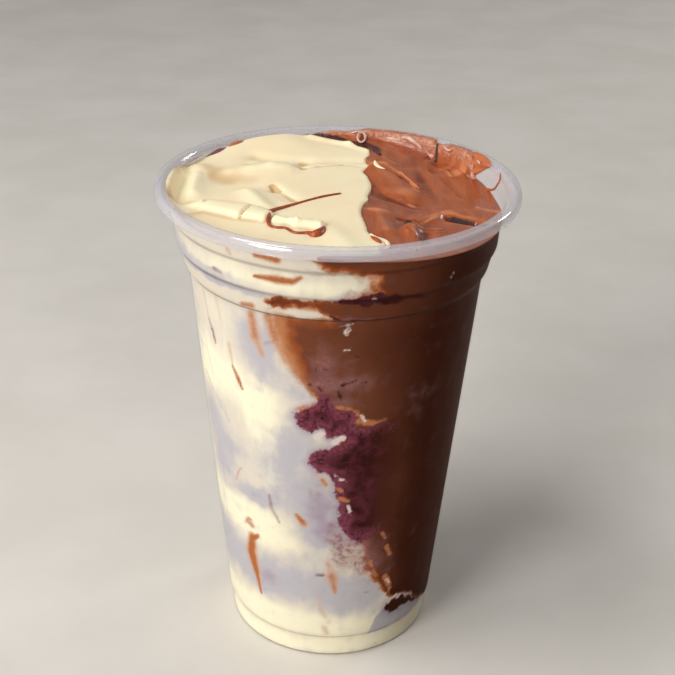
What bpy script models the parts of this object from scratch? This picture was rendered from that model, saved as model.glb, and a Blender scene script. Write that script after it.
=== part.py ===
"""Cup of acai: a clear stepped plastic cup holding milk cream, chocolate cream and acai, one still body.

Metres, +Z up, origin under the centre of the foot. The front, where the acai shows, faces -Y.
"""

import math

import bmesh
import bpy

MM = 0.001

# Cup, in millimetres
CUP_HEIGHT = 132.0
MOUTH_RADIUS = 47.5
WALL = 0.6
PUSH_UP_RADIUS = 22.4
PUSH_UP_HEIGHT = 2.2
FOOT_INNER_RADIUS = 23.6
FOOT_RADIUS = 28.2
FOOT_TOP = 5.8
LIP_RADIUS = 44.2
LIP_LEVEL = 128.8
ROUND_STEPS = 60

# Outside of the cup from the foot's step to the lip: radius and height of each corner, in millimetres
STEPS = (
    (28.8, FOOT_TOP),
    (29.8, 8.0),
    (39.1, 109.2),
    (40.45, 111.2),
    (41.6, 116.0),
    (42.45, 117.3),
    (42.9, 123.4),
    (43.6, 124.5),
    (LIP_RADIUS, LIP_LEVEL),
)

# Rolled lip, as steps out and up from the wall's top, in millimetres: its hollow underside, then its outside
LIP_UNDER = ((0.3, 1.0), (1.1, 2.3), (2.1, 2.2), (2.5, 1.2), (2.6, 0.0))
LIP_OUTSIDE = ((3.0, -0.05), (3.2, 0.6), (3.3, 1.6), (2.95, 2.6))
LIP_TOP = ((2.2, 3.1), (1.2, 3.2), (0.4, 2.9), (-0.2, 2.2), (-0.5, 1.0))

# Contents, in millimetres
GAP = 0.3
TOP_CELLS = 42
TOP_REACH = 46.0
TOP_CROWDING = 0.4
CREAM_LEVEL = 128.4
CREAM_SLOPE = 0.022
CHOCOLATE_LEVEL = 127.2
CHOCOLATE_SLOPE = 0.09
CHOCOLATE_BACK_SLOPE = 0.09
CHOCOLATE_BACK_START = 8.0
SMEAR_LEVEL = 131.4
SMEAR_WIDTH = 3.2
SMEAR_RISE = 2.7
SMEAR_START = 114.0
SMEAR_FULL = 119.0
SMEAR_END = 230.0
EDGE_X = 7.6

# Folds of the cream's top: ends of each crest, half width and height in millimetres, hollows below zero
CREAM_FOLDS = (
    (-28.0, 12.5, -13.0, 19.0, 4.2, 1.2),
    (-23.0, 25.5, -11.0, 22.0, 2.8, -0.9),
    (-10.0, 22.0, -11.0, 16.0, 2.2, -0.8),
    (-8.0, 23.0, 5.0, 23.5, 2.6, -0.5),
    (-30.0, 37.0, -16.0, 38.5, 7.5, 1.4),
    (-8.0, 46.0, 6.0, 37.0, 5.0, -0.4),
    (-17.0, 1.5, -12.0, -5.0, 2.1, -1.0),
    (-23.5, -2.0, -20.0, -11.0, 2.8, 0.7),
    (-37.0, 15.0, -37.0, -5.0, 3.2, 0.9),
    (-40.0, 12.0, -40.0, -8.0, 1.8, -0.8),
    (-43.5, 14.0, -43.5, -14.0, 2.2, 1.6),
    (-33.0, 8.0, -25.0, 4.0, 6.0, -0.6),
    (-1.0, -26.0, 3.0, -36.0, 3.5, 0.6),
)
# The ribbon lying on the cream, left to right
RIBBON = (
    (-34.0, -11.4, -26.6, -14.8, 4.0, 1.9),
    (-20.8, -16.6, -18.6, -17.8, 3.2, 1.7),
    (-14.8, -19.6, -11.6, -21.0, 1.8, 1.3),
    (-8.8, -22.2, -5.2, -23.4, 2.2, 1.6),
)
RIBBON_POWER = 4.0
# Folds of the chocolate's top
CHOCOLATE_FOLDS = (
    (11.0, 20.0, 18.0, 6.0, 5.2, 1.5),
    (22.5, 19.0, 24.5, 6.0, 2.0, -0.8),
    (11.0, 3.0, 20.0, -1.5, 2.4, -0.8),
    (9.0, -10.0, 12.5, -11.0, 2.2, 0.8),
    (10.2, -12.0, 12.2, -22.0, 2.4, 0.9),
    (18.2, -17.6, 17.8, -22.0, 2.4, 1.8),
    (21.9, -13.0, 21.7, -26.0, 1.6, -1.4),
    (22.0, -12.0, 28.5, -5.5, 2.2, 1.0),
    (28.0, -8.8, 34.6, -10.2, 1.5, -1.8),
    (30.0, 4.0, 34.0, -2.0, 5.0, 0.5),
    (26.0, 24.0, 28.0, 33.0, 2.0, -0.7),
)

# Where the chocolate meets the cream along the front wall: height in millimetres, angle from the front
FRONT_MEET = (
    (-4.0, 89.0),
    (6.0, 82.0),
    (12.0, 56.0),
    (18.5, 36.0),
    (25.0, 26.0),
    (32.0, 20.0),
    (40.0, 15.0),
    (46.0, 7.0),
    (56.0, 4.0),
    (66.0, -2.0),
    (80.0, -6.0),
    (90.0, -10.0),
    (98.0, -15.0),
    (108.0, -23.0),
    (112.0, -4.0),
    (118.0, 13.0),
    (121.0, 9.0),
    (125.0, -1.0),
    (128.0, -7.0),
    (136.0, -7.0),
)
# The same meeting in the middle and at the back: how far it sways, and the height of one wave over 2 pi
BACK_SWAY = 6.5
BACK_WAVE = 15.0
BACK_CLIMB = 26.0
# The same meeting on top, where it starts from EDGE_X: centre, half width and height of each wave
TOP_WAVES = ((31.0, 5.0, 1.3), (6.0, 6.0, 1.2), (-12.0, 8.0, -1.6))
# and its bends near the wall: at the back where it starts and its rate, at the front start, length and reach
BACK_BEND = (31.6, 0.135)
FRONT_BENDS = ((-24.0, 8.0, 3.0), (-38.0, 5.0, -15.0))
TOP_BLEND_START = 112.0
TOP_BLEND = 14.0
MEET_STEP = 4.8
COLLAR_STEP = 2.8
COLLAR_START = 107.0

# How far the helpers that cut the food reach beyond it, in millimetres
BELOW = -10.0
ABOVE = 138.0
BESIDE = 60.0

# Acai at the wall: height in millimetres, then the angles from the front of its left and right edges
ACAI_EDGES = (
    (40.0, 9.0, 21.0),
    (45.0, 6.0, 30.0),
    (52.0, 3.5, 33.0),
    (60.0, 1.0, 34.0),
    (66.0, -8.0, 34.0),
    (74.0, -10.0, 32.0),
    (80.0, -14.0, 24.0),
    (85.0, -7.0, 9.0),
    (88.0, -2.0, 4.0),
)
ACAI_BACK = 12.0
ACAI_ENDS_BACK = -12.0
ACAI_FRONT = -48.0
ACAI_SIDES = 20
ACAI_CLEARANCE = 0.4
ACAI_SQUARENESS = (0.7, 0.8)

# Drizzle on the cream: points along it, half width at each, and how far it stands up, in millimetres
DRIZZLE = (
    (0.6, -1.2, 0.35),
    (-4.0, -3.4, 0.45),
    (-10.0, -8.0, 0.45),
    (-16.8, -15.3, 0.55),
    (-16.9, -18.5, 0.6),
    (-16.6, -22.8, 0.55),
    (-15.0, -24.5, 0.5),
    (-12.5, -24.8, 0.5),
    (-10.2, -27.4, 0.5),
    (-7.0, -27.6, 0.7),
    (-5.2, -28.6, 1.5),
    (-3.7, -26.5, 1.1),
    (-3.2, -24.4, 0.4),
)
DRIZZLE_SIDES = 6
DRIZZLE_HEIGHT = 0.5
DRIZZLE_DEPTH = 1.4

COLOURS = {
    "cup": (0.86, 0.86, 0.90, 0.30),
    "milk_cream": (0.86, 0.78, 0.58, 1.0),
    "chocolate_cream": (0.20, 0.075, 0.035, 1.0),
    "acai": (0.075, 0.02, 0.045, 1.0),
}
ROUGHNESS = {"cup": 0.22, "milk_cream": 0.42, "chocolate_cream": 0.34, "acai": 0.5}


def smooth(t):
    """Eased step from 0 to 1."""
    t = min(1.0, max(0.0, t))
    return t * t * (3.0 - 2.0 * t)


def along(table, value):
    """Linear reading of a table's second column at a value of its first."""
    if value <= table[0][0]:
        return table[0][1]
    for low, high in zip(table, table[1:]):
        if value <= high[0]:
            share = (value - low[0]) / (high[0] - low[0])
            return low[1] + share * (high[1] - low[1])
    return table[-1][1]


def fold(x, y, row, power=2.0):
    """Height that one fold adds at a point. A higher power gives it a flatter top and steeper sides."""
    x0, y0, x1, y1, half, height = row
    dx, dy = x1 - x0, y1 - y0
    share = ((x - x0) * dx + (y - y0) * dy) / (dx * dx + dy * dy)
    share = min(1.0, max(0.0, share))
    away = math.hypot(x - x0 - share * dx, y - y0 - share * dy)
    return height * math.exp(-((away / half) ** power))


def outline():
    """Outside of the cup from its axis under the push-up to the lip."""
    under = (
        (0.0, PUSH_UP_HEIGHT),
        (PUSH_UP_RADIUS, PUSH_UP_HEIGHT),
        (FOOT_INNER_RADIUS - 0.4, 0.4),
        (FOOT_INNER_RADIUS, 0.0),
        (FOOT_RADIUS, 0.0),
        (FOOT_RADIUS + 0.5, 0.5),
    )
    return list(under + STEPS)


def inset(path, distance):
    """The path moved to its left by a distance, with mitred corners. It starts on the axis."""
    sides = []
    for (r0, z0), (r1, z1) in zip(path, path[1:]):
        length = math.hypot(r1 - r0, z1 - z0)
        sides.append((-(z1 - z0) / length, (r1 - r0) / length))
    moved = []
    for index, (r, z) in enumerate(path):
        a = sides[max(0, index - 1)]
        b = sides[min(len(sides) - 1, index)]
        scale = distance / (1.0 + a[0] * b[0] + a[1] * b[1])
        moved.append((max(0.0, r + (a[0] + b[0]) * scale), z + (a[1] + b[1]) * scale))
    return moved


def radius_inside(z, distance):
    """Radius of the room inside the cup at a height, this far in from the outside."""
    table = [(height, r) for r, height in inset(outline(), distance) if r > FOOT_RADIUS - 2.0]
    return along(sorted(table), z)


def edge_on_top(y):
    """Where the chocolate meets the cream on top, across the cup at this depth."""
    edge = EDGE_X
    for centre, half, height in TOP_WAVES:
        edge += height * math.exp(-(((y - centre) / half) ** 2))
    for start, length, reach in FRONT_BENDS:
        edge += reach * smooth((start - y) / length)
    start, rate = BACK_BEND
    return edge - rate * max(0.0, y - start) ** 2


def cream_level(x, y):
    """Height of the cream's top."""
    height = CREAM_LEVEL + CREAM_SLOPE * y + sum(fold(x, y, row) for row in CREAM_FOLDS)
    return height + max(fold(x, y, row, RIBBON_POWER) for row in RIBBON)


def chocolate_level(x, y):
    """Height of the chocolate's top, which climbs the cup's wall round the back."""
    height = CHOCOLATE_LEVEL - CHOCOLATE_SLOPE * (x - EDGE_X)
    height += CHOCOLATE_BACK_SLOPE * max(0.0, y - CHOCOLATE_BACK_START)
    height += sum(fold(x, y, row) for row in CHOCOLATE_FOLDS)
    turn = math.degrees(math.atan2(x, -y)) % 360.0
    start = radius_inside(LIP_LEVEL, WALL) - SMEAR_WIDTH
    climb = smooth((turn - SMEAR_START) / (SMEAR_FULL - SMEAR_START)) if turn < SMEAR_END else 0.0
    climb *= smooth((math.hypot(x, y) - start) / SMEAR_RISE)
    return height + (SMEAR_LEVEL - height) * climb


def meeting(y, z):
    """How far across the cup the chocolate meets the cream, at this depth and height."""
    radius = radius_inside(z, WALL)
    front = radius * math.sin(math.radians(along(FRONT_MEET, z)))
    base = BACK_SWAY * math.sin(z / BACK_WAVE)
    back = base + (radius - base) * smooth(1.0 - z / BACK_CLIMB)
    side = smooth((y + radius) / (2.0 * radius))
    inside = front + (back - front) * side
    return inside + (edge_on_top(y) - inside) * smooth((z - TOP_BLEND_START) / TOP_BLEND)


def new_object(name, verts, faces, helper=False):
    """A mesh object from points in millimetres, its faces turned outwards."""
    mesh = bpy.data.meshes.new(name)
    mesh.from_pydata([[c * MM for c in v] for v in verts], [], faces)
    body = bmesh.new()
    body.from_mesh(mesh)
    bmesh.ops.recalc_face_normals(body, faces=body.faces)
    body.to_mesh(mesh)
    body.free()
    obj = bpy.data.objects.new(name, mesh)
    bpy.context.scene.collection.objects.link(obj)
    for face in mesh.polygons:
        face.use_smooth = True
    if helper:
        hide(obj)
    return obj


def turned(name, profile):
    """A body of revolution. Its profile starts and ends on the axis."""
    verts = []
    rings = []
    for r, z in profile:
        if r < 1e-6:
            rings.append([len(verts)] * ROUND_STEPS)
            verts.append((0.0, 0.0, z))
            continue
        rings.append(list(range(len(verts), len(verts) + ROUND_STEPS)))
        for step in range(ROUND_STEPS):
            a = 2.0 * math.pi * step / ROUND_STEPS
            verts.append((r * math.sin(a), -r * math.cos(a), z))
    faces = []
    for low, high in zip(rings, rings[1:]):
        for step in range(ROUND_STEPS):
            after = (step + 1) % ROUND_STEPS
            corners = [low[step], low[after], high[after], high[step]]
            face = list(dict.fromkeys(corners))
            if len(face) > 2:
                faces.append(face)
    return new_object(name, verts, faces)


def grid_body(name, points, backs):
    """A closed body between a grid of points and the same grid moved back."""
    rows, cols = len(points), len(points[0])
    verts = [p for row in points for p in row] + [p for row in backs for p in row]
    half = rows * cols
    faces = []
    for i in range(rows - 1):
        for j in range(cols - 1):
            a, b = i * cols + j, i * cols + j + 1
            c, d = a + cols + 1, a + cols
            if math.dist(verts[a], verts[c]) <= math.dist(verts[b], verts[d]):
                cut = ((a, b, c), (a, c, d))
            else:
                cut = ((a, b, d), (b, c, d))
            faces += cut
            faces += [tuple(half + k for k in reversed(face)) for face in cut]
    rim = list(range(cols))
    rim += [i * cols + cols - 1 for i in range(1, rows)]
    rim += [(rows - 1) * cols + j for j in range(cols - 2, -1, -1)]
    rim += [i * cols for i in range(rows - 2, 0, -1)]
    for a, b in zip(rim, rim[1:] + rim[:1]):
        faces.append((a, b, half + b, half + a))
    return new_object(name, verts, faces, helper=True)


def disc_point(u, v):
    """A point of a disc for a point of a square, both from -1 to 1, closer together near the disc's edge."""
    if abs(u) < 1e-9 and abs(v) < 1e-9:
        return 0.0, 0.0
    if abs(u) > abs(v):
        reach, turn = u, math.pi / 4.0 * v / u
    else:
        reach, turn = v, math.pi / 2.0 - math.pi / 4.0 * u / v
    crowded = abs(reach) + TOP_CROWDING * math.sin(math.pi * abs(reach)) / math.pi
    radius = math.copysign(crowded * TOP_REACH, reach)
    return radius * math.cos(turn), radius * math.sin(turn)


def spread(low, high, step):
    """Even values from low to high, about this far apart."""
    count = max(1, round((high - low) / step))
    return [low + (high - low) * i / count for i in range(count + 1)]


def hide(obj):
    """Leaves an object out of the model, as one that only shapes others."""
    obj.hide_render = True
    obj.display_type = "WIRE"


def make_cup():
    path = outline()
    inner = inset(path, WALL)
    lip = [(LIP_RADIUS + r, LIP_LEVEL + z) for r, z in LIP_UNDER + LIP_OUTSIDE + LIP_TOP]
    profile = path + lip + inner[::-1]
    return turned("cup", profile)


def make_room(name):
    """The food's outside: the room in the cup, less a gap, up past the top of the food."""
    path = inset(outline(), WALL + GAP)
    return turned(name, path + [(path[-1][0], ABOVE), (0.0, ABOVE)])


def make_top(name, level):
    """Everything under a top surface."""
    steps = spread(-1.0, 1.0, 2.0 / TOP_CELLS)
    spots = [[disc_point(u, v) for u in steps] for v in steps]
    points = [[(x, y, level(x, y)) for x, y in row] for row in spots]
    backs = [[(x, y, BELOW) for x, y in row] for row in spots]
    return grid_body(name, points, backs)


def make_chocolate_side(name, shift):
    """Everything on the chocolate's side of where it meets the cream."""
    ys = spread(-TOP_REACH, TOP_REACH, MEET_STEP)
    zs = spread(FRONT_MEET[0][0], COLLAR_START, MEET_STEP)[:-1]
    zs += spread(COLLAR_START, CUP_HEIGHT, COLLAR_STEP) + [ABOVE]
    points = [[(meeting(y, z) + shift, y, z) for y in ys] for z in zs]
    backs = [[(BESIDE, y, z) for y in ys] for z in zs]
    return grid_body(name, points, backs)


def make_acai_mass(name, grow=0.0, helper=False):
    """The acai's mass: slices that reach in from beyond the wall, rounded at the back."""
    verts, rings = [], []
    low, high = ACAI_EDGES[0][0], ACAI_EDGES[-1][0]
    for z, left, right in ACAI_EDGES:
        radius = radius_inside(z, WALL)
        x0 = radius * math.sin(math.radians(left)) - grow
        x1 = radius * math.sin(math.radians(right)) + grow
        middle, half = (x0 + x1) / 2.0, (x1 - x0) / 2.0
        share = (z - low) / (high - low)
        bulge = max(0.0, math.sin(math.pi * share)) ** 0.6
        back = ACAI_ENDS_BACK + (ACAI_BACK - ACAI_ENDS_BACK) * bulge + grow
        shown = z + grow * (2.0 * share - 1.0)
        ring = []
        for step in range(ACAI_SIDES):
            a = 2.0 * math.pi * step / ACAI_SIDES
            across = math.copysign(abs(math.cos(a)) ** ACAI_SQUARENESS[0], math.cos(a))
            depth = math.copysign(abs(math.sin(a)) ** ACAI_SQUARENESS[1], math.sin(a))
            y = ACAI_FRONT + (back - ACAI_FRONT) / 2.0 * (1.0 + depth)
            ring.append(len(verts))
            verts.append((middle + half * across, y, shown))
        rings.append(ring)
    faces = [tuple(rings[0]), tuple(rings[-1])]
    for low_ring, high_ring in zip(rings, rings[1:]):
        for step in range(ACAI_SIDES):
            after = (step + 1) % ACAI_SIDES
            faces.append((low_ring[step], low_ring[after], high_ring[after], high_ring[step]))
    return new_object(name, verts, faces, helper)


def make_drizzle():
    """The chocolate line on the cream, half sunk in it."""
    verts, rings = [], []
    last = len(DRIZZLE) - 1
    for index, (x, y, half) in enumerate(DRIZZLE):
        before, after = DRIZZLE[max(0, index - 1)], DRIZZLE[min(last, index + 1)]
        dx, dy = after[0] - before[0], after[1] - before[1]
        length = math.hypot(dx, dy)
        side = (-dy / length, dx / length)
        z = cream_level(x, y)
        ring = []
        for step in range(DRIZZLE_SIDES):
            a = 2.0 * math.pi * step / DRIZZLE_SIDES
            across, up = half * math.cos(a), math.sin(a)
            up *= DRIZZLE_HEIGHT if up > 0.0 else DRIZZLE_DEPTH
            ring.append(len(verts))
            verts.append((x + side[0] * across, y + side[1] * across, z + up))
        rings.append(ring)
    faces = [tuple(rings[0]), tuple(rings[-1])]
    for low_ring, high_ring in zip(rings, rings[1:]):
        for step in range(DRIZZLE_SIDES):
            after = (step + 1) % DRIZZLE_SIDES
            faces.append((low_ring[step], low_ring[after], high_ring[after], high_ring[step]))
    return new_object("drizzle_line", verts, faces, helper=True)


def combine(obj, operation, other, solver="EXACT"):
    cut = obj.modifiers.new(other.name, "BOOLEAN")
    cut.operation = operation
    cut.object = other
    cut.solver = solver


def paint(obj):
    colour = COLOURS[obj.name]
    material = bpy.data.materials.new(obj.name)
    material.use_nodes = True
    shader = material.node_tree.nodes["Principled BSDF"]
    shader.inputs["Base Color"].default_value = colour
    shader.inputs["Roughness"].default_value = ROUGHNESS[obj.name]
    shader.inputs["Alpha"].default_value = colour[3]
    obj.data.materials.append(material)


def main():
    for obj in list(bpy.data.objects):
        bpy.data.objects.remove(obj)
    cream_top = make_top("cream_top", cream_level)
    chocolate_top = make_top("chocolate_top", chocolate_level)
    cream_limit = make_chocolate_side("cream_limit", -GAP)
    chocolate_limit = make_chocolate_side("chocolate_limit", GAP / 2.0)
    acai_room = make_acai_mass("acai_room", ACAI_CLEARANCE, helper=True)
    acai_bound = make_room("acai_bound")
    hide(acai_bound)
    drizzle = make_drizzle()

    cup = make_cup()
    cream = make_room("milk_cream")
    combine(cream, "INTERSECT", cream_top)
    combine(cream, "DIFFERENCE", cream_limit, "MANIFOLD")
    combine(cream, "DIFFERENCE", acai_room)
    combine(cream, "UNION", drizzle)
    chocolate = make_room("chocolate_cream")
    combine(chocolate, "INTERSECT", chocolate_top)
    combine(chocolate, "INTERSECT", chocolate_limit)
    combine(chocolate, "DIFFERENCE", acai_room)
    acai = make_acai_mass("acai")
    combine(acai, "INTERSECT", acai_bound)
    for obj in (cup, cream, chocolate, acai):
        paint(obj)


main()
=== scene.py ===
"""Looks of the cup of acai: clear stepped cup, milk cream, chocolate cream, acai and thin sauces.

Lengths in the tables are millimetres. Angles are degrees round the cup, from its front (-Y)
towards +X.
"""

import math

import bmesh
import bpy
import numpy as np
from mathutils import Matrix, Vector


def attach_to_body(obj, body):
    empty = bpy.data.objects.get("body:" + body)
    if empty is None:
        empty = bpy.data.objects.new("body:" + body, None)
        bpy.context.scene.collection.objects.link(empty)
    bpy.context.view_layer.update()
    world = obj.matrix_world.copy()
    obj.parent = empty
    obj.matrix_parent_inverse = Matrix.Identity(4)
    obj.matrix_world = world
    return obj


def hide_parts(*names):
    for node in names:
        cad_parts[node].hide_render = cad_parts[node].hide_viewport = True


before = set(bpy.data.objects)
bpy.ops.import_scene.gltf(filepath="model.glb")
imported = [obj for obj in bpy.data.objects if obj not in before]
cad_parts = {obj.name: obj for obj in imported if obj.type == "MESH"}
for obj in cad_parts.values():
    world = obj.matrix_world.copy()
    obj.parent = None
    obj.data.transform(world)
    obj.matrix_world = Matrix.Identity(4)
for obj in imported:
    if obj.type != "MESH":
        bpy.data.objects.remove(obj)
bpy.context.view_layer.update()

MM = 0.001

# ---------------- the solid's own sizes

WALL = 0.6
PUSH_UP_RADIUS = 22.4
PUSH_UP_HEIGHT = 2.2
FOOT_INNER_RADIUS = 23.6
FOOT_RADIUS = 28.2
FOOT_TOP = 5.8
LIP_RADIUS = 44.2
LIP_LEVEL = 128.8
STEPS = (
    (28.8, FOOT_TOP),
    (29.8, 8.0),
    (39.1, 109.2),
    (40.45, 111.2),
    (41.6, 116.0),
    (42.45, 117.3),
    (42.9, 123.4),
    (43.6, 124.5),
    (LIP_RADIUS, LIP_LEVEL),
)
LIP_UNDER = ((0.3, 1), (1.1, 2.3), (2.1, 2.2), (2.5, 1.2), (2.6, 0))
LIP_OUTSIDE = ((3, -0.05), (3.2, 0.6), (3.3, 1.6), (2.95, 2.6))
LIP_TOP = ((2.2, 3.1), (1.2, 3.2), (0.4, 2.9), (-0.2, 2.2), (-0.5, 1))

TOP_REACH = 46.0
TOP_CROWDING = 0.4
CREAM_LEVEL = 128.4
CREAM_SLOPE = 0.022
CHOCOLATE_LEVEL = 127.2
CHOCOLATE_SLOPE = 0.09
CHOCOLATE_BACK_SLOPE = 0.09
CHOCOLATE_BACK_START = 8.0
EDGE_X = 7.6
# Folds of the tops: both ends, half width and height
CREAM_FOLDS = (
    (-28, 12.5, -13, 19, 4.2, 1.2), (-23, 25.5, -11, 22, 2.8, -0.9), (-10, 22, -11, 16, 2.2, -0.8),
    (-8, 23, 5, 23.5, 2.6, -0.5), (-30, 37, -16, 38.5, 7.5, 1.4), (-8, 46, 6, 37, 5, -0.4),
    (-17, 1.5, -12, -5, 2.1, -1), (-23.5, -2, -20, -11, 2.8, 0.7), (-37, 15, -37, -5, 3.2, 0.9),
    (-40, 12, -40, -8, 1.8, -0.8), (-43.5, 14, -43.5, -14, 2.2, 1.6), (-33, 8, -25, 4, 6, -0.6),
    (-1, -26, 3, -36, 3.5, 0.6),
)
CHOCOLATE_FOLDS = (
    (11, 20, 18, 6, 5.2, 1.5), (22.5, 19, 24.5, 6, 2, -0.8), (11, 3, 20, -1.5, 2.4, -0.8),
    (9, -10, 12.5, -11, 2.2, 0.8), (10.2, -12, 12.2, -22, 2.4, 0.9),
    (18.2, -17.6, 17.8, -22, 2.4, 1.8), (21.9, -13, 21.7, -26, 1.6, -1.4),
    (22, -12, 28.5, -5.5, 2.2, 1), (28, -8.8, 34.6, -10.2, 1.5, -1.8), (30, 4, 34, -2, 5, 0.5),
    (26, 24, 28, 33, 2, -0.7),
)
# Where the creams meet at the front wall: angle and height
FRONT_MEET = (
    (-4, 89), (6, 82), (12, 56), (18.5, 36), (25, 26), (32, 20), (40, 15), (46, 7), (56, 4),
    (66, -2), (80, -6), (90, -10), (98, -15), (108, -23), (112, -4), (118, 13), (121, 9), (125, -1),
    (128, -7), (136, -7),
)
BACK_SWAY = 6.5
BACK_WAVE = 15.0
BACK_CLIMB = 26.0
# Waves of the line where the creams meet on top: middle, half length and reach
TOP_WAVES = ((31, 5, 1.3), (6, 6, 1.2), (-12, 8, -1.6))
BACK_BEND = (31.6, 0.135)
FRONT_BENDS = ((-24, 8, 3), (-38, 5, -15))
TOP_BLEND_START = 112.0
TOP_BLEND = 14.0
ABOVE = 138.0
BELOW = -10.0
BESIDE = 60.0
# The acai's mass at the wall: height, and the angles of its two edges
ACAI_EDGES = (
    (40, 9, 21), (45, 6, 30), (52, 3.5, 33), (60, 1, 34), (66, -8, 34), (74, -10, 32),
    (80, -14, 24), (85, -7, 9), (88, -2, 4),
)
ACAI_BACK = 12.0
ACAI_ENDS_BACK = -12.0
ACAI_FRONT = -48.0
ACAI_SQUARENESS = (0.7, 0.8)
ACAI_BULGE = 0.6
# The drizzle's path across the cream: x, y and half width
DRIZZLE = (
    (0.6, -1.2, 0.35), (-4, -3.7, 0.45), (-10, -8.4, 0.45), (-16.8, -15.3, 0.55),
    (-16.9, -18.5, 0.6), (-16.6, -22.8, 0.55), (-15, -24.5, 0.5), (-12.5, -24.8, 0.5),
    (-10.2, -27.4, 0.5), (-7, -27.6, 0.7), (-5.2, -28.6, 1.5), (-3.7, -26.5, 1.1),
    (-3.2, -24.4, 0.4),
)

# ---------------- what the looks add to them

ROUND_STEPS = 384
WALL_STEP = 0.7
TOP_STEP = 0.5
SIDE_STEP = 0.6
# Levels of the face between the creams: from, to and step
SIDE_LEVELS = ((-4.0, 106.0, 2.4), (107.0, 133.0, SIDE_STEP))
CORNER = 0.7
FILL_INSET = 0.35
SEAM = 0.02
# Outside of the film on the lip: radius and height
LIP_FILM = ((43.95, 129.8), (44.25, 131), (44.85, 131.7), (45.2, 131.9))
EDGE_RIPPLES = (
    (20.5, 1.8, 1.3), (15.8, 1.7, -0.9), (-3.5, 1.6, 0.7), (-31.8, 1.7, 1), (26, 1.3, -0.5),
)
EDGE_ROUND = 0.9
EDGE_DROP = 0.7
# Finer folds than the solids have, in the same order
FINE_CREAM = (
    (-8, 41.5, 3, 37, 1.5, 0.9), (3, 37, 8, 32.5, 1.5, 0.5), (-23.5, 13.2, -18, 15.4, 2, 0.45),
    (-18, 15.4, -11.2, 15.8, 1.8, 0.45), (-24, 18.6, -19, 21.6, 1.3, -0.7),
    (-19, 21.6, -14, 21.3, 1.2, -0.7), (-14, 21.3, -9.4, 17.4, 1, -0.5),
    (-9.5, 17.2, -5.3, 19.4, 0.8, -0.35), (-5.3, 19.4, 0.9, 21.4, 0.8, -0.3),
    (0.9, 21.4, 6.6, 19.4, 0.8, -0.25), (-17, 4.2, -15.6, 1.4, 0.9, -1.1),
    (-15.6, 1.4, -10.6, -6.6, 0.8, -0.3), (-23.4, -0.6, -17.4, -12.6, 2.1, 0.55),
    (-15.5, 0, -12, -5, 1.9, 0.5), (-41.2, 9, -41.4, -7, 1.2, -0.6),
    (-37.6, 9, -37.8, -3, 1.6, 0.6), (-34, 15.5, -29, 14, 3, -0.2), (-30, -28, -14, -36, 3, 0.3),
    (-10.8, -20.2, -10.2, -22.2, 1, 0.5),
)
# The ribbon lying on the cream, left to right: x, y, half width and height at both ends
RIBBON = (
    (-38.2, -12.2, 0.4, 0.5, -33.5, -11.4, 3, 1.5), (-33.5, -11.4, 3, 1.5, -22.9, -16, 3.8, 1.8),
    (-22.4, -16, 3.4, 1.7, -16.9, -18.4, 2.6, 1.5), (-15.8, -19.4, 1.7, 1.3, -10.6, -21.4, 1, 1),
    (-10.4, -22, 1.5, 1.4, -3.4, -23.6, 1.9, 1.4),
)
RIBBON_DOTS = ((-10.4, -22.2, 1.1, 0.6), (-7, -21.4, 0.8, 0.4), (-5, -22.2, 0.7, 0.35))
RIBBON_EDGE = 1.1
RIBBON_END = 0.5
RIBBON_CROWN = 0.35
# How high the cream creeps up the wall, by angle
CREAM_CREEP = ((180, 0), (245, 0), (258, 0.9), (272, 1.4), (288, 0.9), (300, 0.3), (360, 0.2))
CREEP_WIDTH = 2.0
FINE_CHOCOLATE = (
    (-9, 42, 3, 39, 3.2, -1), (-10, 43.5, -6, 42.5, 2.5, -1), (3, 39, 7.5, 36.5, 2.2, -0.5),
    (8.6, 20, 12.6, 20.6, 1.2, 0.5), (12.6, 20.6, 17, 16, 1.1, 0.25), (17, 16, 21.2, 9, 0.9, 0.65),
    (13.4, 17.4, 17.2, 13.6, 0.7, -0.3), (17.2, 13.6, 20.4, 8, 0.7, -0.3),
    (9.2, 12, 13.6, 3.6, 1, 0.15), (16.2, 0.8, 20.2, -2.6, 0.8, 0.45),
    (9.6, 8.6, 13.4, 1, 1.1, -0.15), (13.4, 1, 20.2, -3.8, 1.1, -0.3),
    (20.6, 30, 22.6, 16, 1.6, -0.2), (22.6, 16, 26.4, 0.6, 2, -0.2), (22.5, 19, 24.5, 6, 1.6, 0.45),
    (11.4, 30, 15.6, 23, 0.9, 0.35), (14.2, -15, 14.8, -24, 1.3, -0.15),
    (15.6, -12.6, 18.8, -13.4, 0.8, -0.9), (16.8, -21, 19.2, -19.6, 0.7, 0.35),
    (17.2, -21.8, 18.4, -23.4, 0.5, -0.5), (21.9, -13, 21.7, -19, 1.5, 0.5),
    (21.9, -13, 21.7, -26, 1.5, 0.6), (20.6, -16, 27.8, -6.6, 0.55, 0.3),
    (20.8, -13.6, 25.4, -8, 0.45, 0.2), (20.2, -17.8, 26, -17.2, 0.5, 0.25),
    (21, -19.6, 29, -18.6, 0.5, 0.18), (27, -6.2, 35, -7.6, 1.2, 0.1),
    (22, -12, 28.5, -5.5, 1.8, -0.4), (28, -9.4, 34.2, -10.8, 0.6, -0.5), (31, 0, 37, -8, 1.2, 0.1),
    (33.5, -14, 26, -26, 1.4, 0.3), (29, 18, 33, 8, 1.1, -0.3), (31.6, 26, 34.4, 21.6, 1, 0.6),
    (29.6, 23.8, 30.8, 20.6, 0.7, 0.5), (22, 34, 28, 24, 1.2, 0.35),
    (36.6, 0, 36.9, -0.5, 0.8, 0.35), (38.4, -6, 37.8, -8, 0.8, 0.5),
)
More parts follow.
